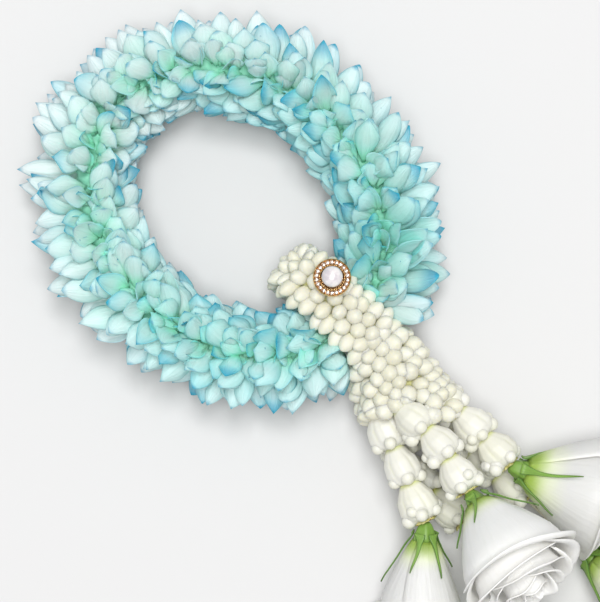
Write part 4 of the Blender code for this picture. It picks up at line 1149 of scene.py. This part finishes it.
def star_ring(length, draw):
    """A ragged little crown round the narrow end."""
    jag = 1.0 + 0.14 * draw.standard_normal(40)
    wave = lambda angle: np.cos(STAR_TEETH * angle)
    teeth = lambda angle: jag * (1.0 + 0.28 * np.sign(wave(angle)) * np.abs(wave(angle)) ** 0.6)
    return turned(STAR_OUTLINE, 40, teeth) - (0.0, 0.0, 0.5 * length)


def build_flower(name, low, high, ends_strand, draw):
    centre, direction = 0.5 * (low + high), high - low
    length = min(FLOWER_LENGTH, np.linalg.norm(direction) - FLOWER_GAP) + FLOWER_OVERLAP
    placed = lambda points, fields=None: round_bodies(to_world(points, centre, direction), fields)
    body, fields, spin = flower_body(length, draw)
    knobs = flower_knobs(length, spin, draw)
    knob_fields = columns_of(0.8, np.zeros(knobs.shape[:-1]), draw.random())
    flower = joined([placed(body[None], fields[None]), placed(knobs, knob_fields)])
    add_piece(name, flower, "flower", f"crown_{name}")
    add_piece(f"{name}_star", placed(star_ring(length, draw)), "star")
    if ends_strand:
        last = star_ring(length, draw) * (STAR_END_SPREAD, STAR_END_SPREAD, 1.0)
        add_piece(f"{name}_end", placed(last + (0.0, 0.0, length + STAR_END_LIFT)), "star")


ROSE_LENGTH = 46.0 * MM
# How far each rose is turned round its axis: the first, and each one more than the last
ROSE_TURNS = (0.2, 0.9)
ROSE_OUTLINE = ((0.0, 0.1, 0.25, 0.4, 0.55, 0.72, 1.0), (0.2, 0.36, 0.55, 0.73, 0.88, 0.98, 0.92))
# A rose's layers from the outside in: petals, half angle, radius at the rim, height of the rim, length in mm
# and angle of the lip that flares outward, how far its rim rolls on in degrees, and how much it ruffles
ROSE_LAYERS = (
    (2, 1.95, 0.95, 0.73, 8.0, 60.0, 70.0, 1.0),
    (2, 1.95, 0.79, 0.82, 7.5, 46.0, 55.0, 1.2),
    (3, 1.45, 0.62, 0.89, 6.5, 38.0, 50.0, 1.4),
    (3, 1.45, 0.44, 0.93, 5.0, 32.0, 45.0, 1.5),
    (3, 1.40, 0.27, 0.95, 3.0, 26.0, 40.0, 1.3),
    (3, 1.30, 0.12, 0.94, 1.5, 20.0, 20.0, 1.0),
)
ROSE_LIP_FROM = 0.6
ROSE_THICKNESS = 0.5 * MM
# How much whiter each rose is painted, as painted light: most for the rose turned away from the lamps, none
# for the one that gets the most light
ROSE_PAINTED_LIGHT = {"a": 0.12, "b": 0.34, "c": 0.0, "d": 0.14, "e": 0.14}
ROSE_GREEN = {"a": 0.7, "b": 0.65, "c": 0.95, "d": 0.9, "e": 0.9}
# The rose to the right lies fuller on its side
ROSE_SPREAD = {"c": 1.2}


def rose_radius(u, widest):
    """Radius of a half-open rose at u along it: a cone from a small base to a full, open mouth."""
    return widest * np.interp(u, *ROSE_OUTLINE)


def rose_sheets(widest, phase, draw):
    """Sheets of the rose's petals in its own frame, wrapped round its axis layer by layer."""
    rise = np.linspace(0.0, 1.0, 30)[:, None]
    side = np.linspace(-1.0, 1.0, 27)
    climb = np.minimum(rise / ROSE_LIP_FROM, 1.0)
    lip_part = np.clip((rise - ROSE_LIP_FROM) / (1.0 - ROSE_LIP_FROM), 0.0, 1.0)
    lip_step = np.diff(lip_part, axis=0, prepend=0.0)
    calm = 1.0 - side ** 2
    sheets, fields = [], []
    for layer, (count, half_angle, rim, top, lip, lip_angle, roll, ruffle) in enumerate(ROSE_LAYERS):
        lip = lip * MM
        for number in range(count):
            draws = draw.uniform(0.0, TAU, 6)
            wave = lambda times, index: np.sin(times * side + draws[index])
            centre = phase + 1.1 * layer + TAU * number / count + draw.uniform(-0.12, 0.12)
            edge = top + draw.uniform(-0.015, 0.015) + 0.03 * calm - 0.06 * np.abs(side) ** 6
            edge = edge - 0.8 * lip / ROSE_LENGTH + 0.024 * ruffle * wave(3.4, 0) * calm
            u = 0.02 + (edge - 0.02) * climb
            angle = centre + half_angle * side * (1.06 - 0.10 * climb)
            inner = 1.0 - (1.0 - rim) * smooth(climb, 0.0, 0.45)
            swing = 0.7 * np.sin(3.0 * side + 2.0 * climb + draws[4]) + 0.4 * wave(6.5, 5)
            radius = rose_radius(u, widest) * inner + 0.045 * side * widest * smooth(climb, 0.05, 0.5)
            radius = radius + MM * (swing * climb ** 2 * inner * calm - 0.3 * layer * (1.0 - climb))
            radius = np.maximum(radius, 0.6 * MM)
            waves = 0.6 * wave(3.2, 1) + 0.4 * wave(7.5, 2)
            turn = math.radians(lip_angle) * lip_part * (0.8 + 0.3 * calm + 0.3 * ruffle * waves * calm)
            turn = turn + math.radians(roll) * smooth(lip_part, 0.6, 1.0) * (0.6 + 0.5 * wave(2.2, 3) * calm)
            stretch = lip * (0.75 + 0.35 * calm + 0.2 * ruffle * wave(2.5, 3) * calm)
            radius = radius + stretch * np.cumsum(np.sin(turn) * lip_step, axis=0)
            height = ROSE_LENGTH * u + stretch * np.cumsum(np.cos(turn) * lip_step, axis=0)
            sheets.append(round_axis(radius, angle, height))
            # Deeper layers get a higher value, which the material paints whiter, as painted light in the
            # rose's mouth
            shade = (layer + 0.5 * draw.random()) / len(ROSE_LAYERS)
            fields.append(columns_of(u, 0.5 + 0.5 * side, shade))
    return np.array(sheets), np.array(fields)


def build_rose(key, base, direction, widest, phase, draw):
    sheets, fields = rose_sheets(widest, phase, draw)
    fields = fields / (ROSE_GREEN[key], 1.0, 1.0) + (0.0, 0.0, ROSE_PAINTED_LIGHT[key])
    points = to_world(sheets * (ROSE_SPREAD.get(key, 1.0), 1.0, 1.0), base, direction)
    add_piece(f"rose_petals_{key}", shells(points, ROSE_THICKNESS, fields), "rose", f"rose_{key}")


HIP_LENGTH = 5.6 * MM
HIP_OUTLINE = ((0.5, 1.7, 2.3, 3.1, 3.7, 4.3, 4.7, 0.6), (-5.6, -5.5, -4.9, -3.4, -1.8, 0.0, 1.6, 1.8))
SEPALS = 5
SEPAL_LENGTH = 26.0 * MM
SEPAL_FOOT = 4.6 * MM
SEPAL_THICKNESS = 0.55 * MM
# How far along a sepal, and its half width in mm
SEPAL_OUTLINE = ((0.0, 0.10, 0.25, 0.45, 0.8, 1.0), (2.5, 2.0, 0.95, 0.62, 0.42, 0.15))


def sepal(angle, widest, draw):
    """A narrow folded sheet that hugs the rose from the hip, with a tail that sways and stands off."""
    t = np.linspace(0.0, 1.0, 22)[:, None]
    v = np.linspace(-1.0, 1.0, 7)
    height = SEPAL_LENGTH * draw.uniform(0.52, 0.88) * t - 1.5 * MM
    hug = rose_radius(np.maximum(0.0, height) / ROSE_LENGTH, widest) + 1.1 * MM
    stand = draw.uniform(0.15, 1.0) * 1.9 * MM * smooth(t, 0.35, 1.0) ** 1.5
    radius = np.maximum(SEPAL_FOOT * (1.0 - 0.2 * smooth(t, 0.0, 0.1)), hug + stand)
    wide = np.interp(t, *SEPAL_OUTLINE) * MM
    sway = draw.uniform(-4.0, 4.0) * MM * t ** 2 + draw.uniform(-1.2, 1.2) * MM * np.sin(4.0 * t)
    fold = 0.35 * wide * (1.0 - np.abs(v)) * smooth(t, 0.05, 0.3)
    sideways = np.array((-math.sin(angle), math.cos(angle), 0.0))
    points = round_axis(radius + fold, angle, height) + sideways * (wide * v + sway)[..., None]
    return points, columns_of(t, 0.5 + 0.5 * v, draw.random())


def build_hip(key, base, direction, widest, phase, draw):
    """The green hip, and five sepals that fan from it and end in fine tails."""
    origin = base - direction * CLEARANCE
    flutes = lambda angle: 1.0 + 0.06 * np.cos(5.0 * (angle - phase))
    hip = to_world(turned(HIP_OUTLINE, 40, flutes), origin, direction)
    hip_fields = columns_of(0.1, np.full(hip.shape[:-1], 0.5), draw.random())
    angles = [phase + TAU * (number + 0.5) / SEPALS for number in range(SEPALS)]
    sheets, fields = map(np.array, zip(*[sepal(angle, widest, draw) for angle in angles]))
    sheets = shells(to_world(sheets, origin, direction), SEPAL_THICKNESS, fields)
    add_piece(f"sepals_{key}", joined([round_bodies(hip, hip_fields), sheets]), "green", f"rose_hip_{key}")


def build_tassel():
    draw = np.random.default_rng(23)
    for order, (key, strand) in enumerate(STRANDS.items()):
        joints = strand_joints(strand)
        last = len(strand["flowers"])
        for number, (low, high) in enumerate(zip(joints, joints[1:]), start=1):
            build_flower(f"flower_{key}{number}", low, high, number == last, draw)
        direction = unit(np.array(strand["rose"]))
        if "hip" in strand:
            tail = np.array(strand["hip"]) * MM
        else:
            tail = joints[-1] + (unit(joints[-1] - joints[-2]) + direction) * TAIL_EASE
        base = tail + direction * (CLEARANCE + HIP_LENGTH)
        phase = ROSE_TURNS[0] + ROSE_TURNS[1] * order
        rose = (key, base, direction, strand["radius"] * MM, phase, draw)
        build_rose(*rose)
        build_hip(*rose)


def dress_solids():
    """The threads and the brooch's pin keep their solids and get their own finish."""
    for name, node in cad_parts.items():
        if "thread" in name or name == "brooch_pin":
            material, _ = FINISHES["thread" if "thread" in name else "steel"]
            node.data.materials.clear()
            node.data.materials.append(material)


make_camera()
make_stage()
build_ring()
build_roots()
build_jasmine()
build_brooch()
build_tassel()
dress_solids()
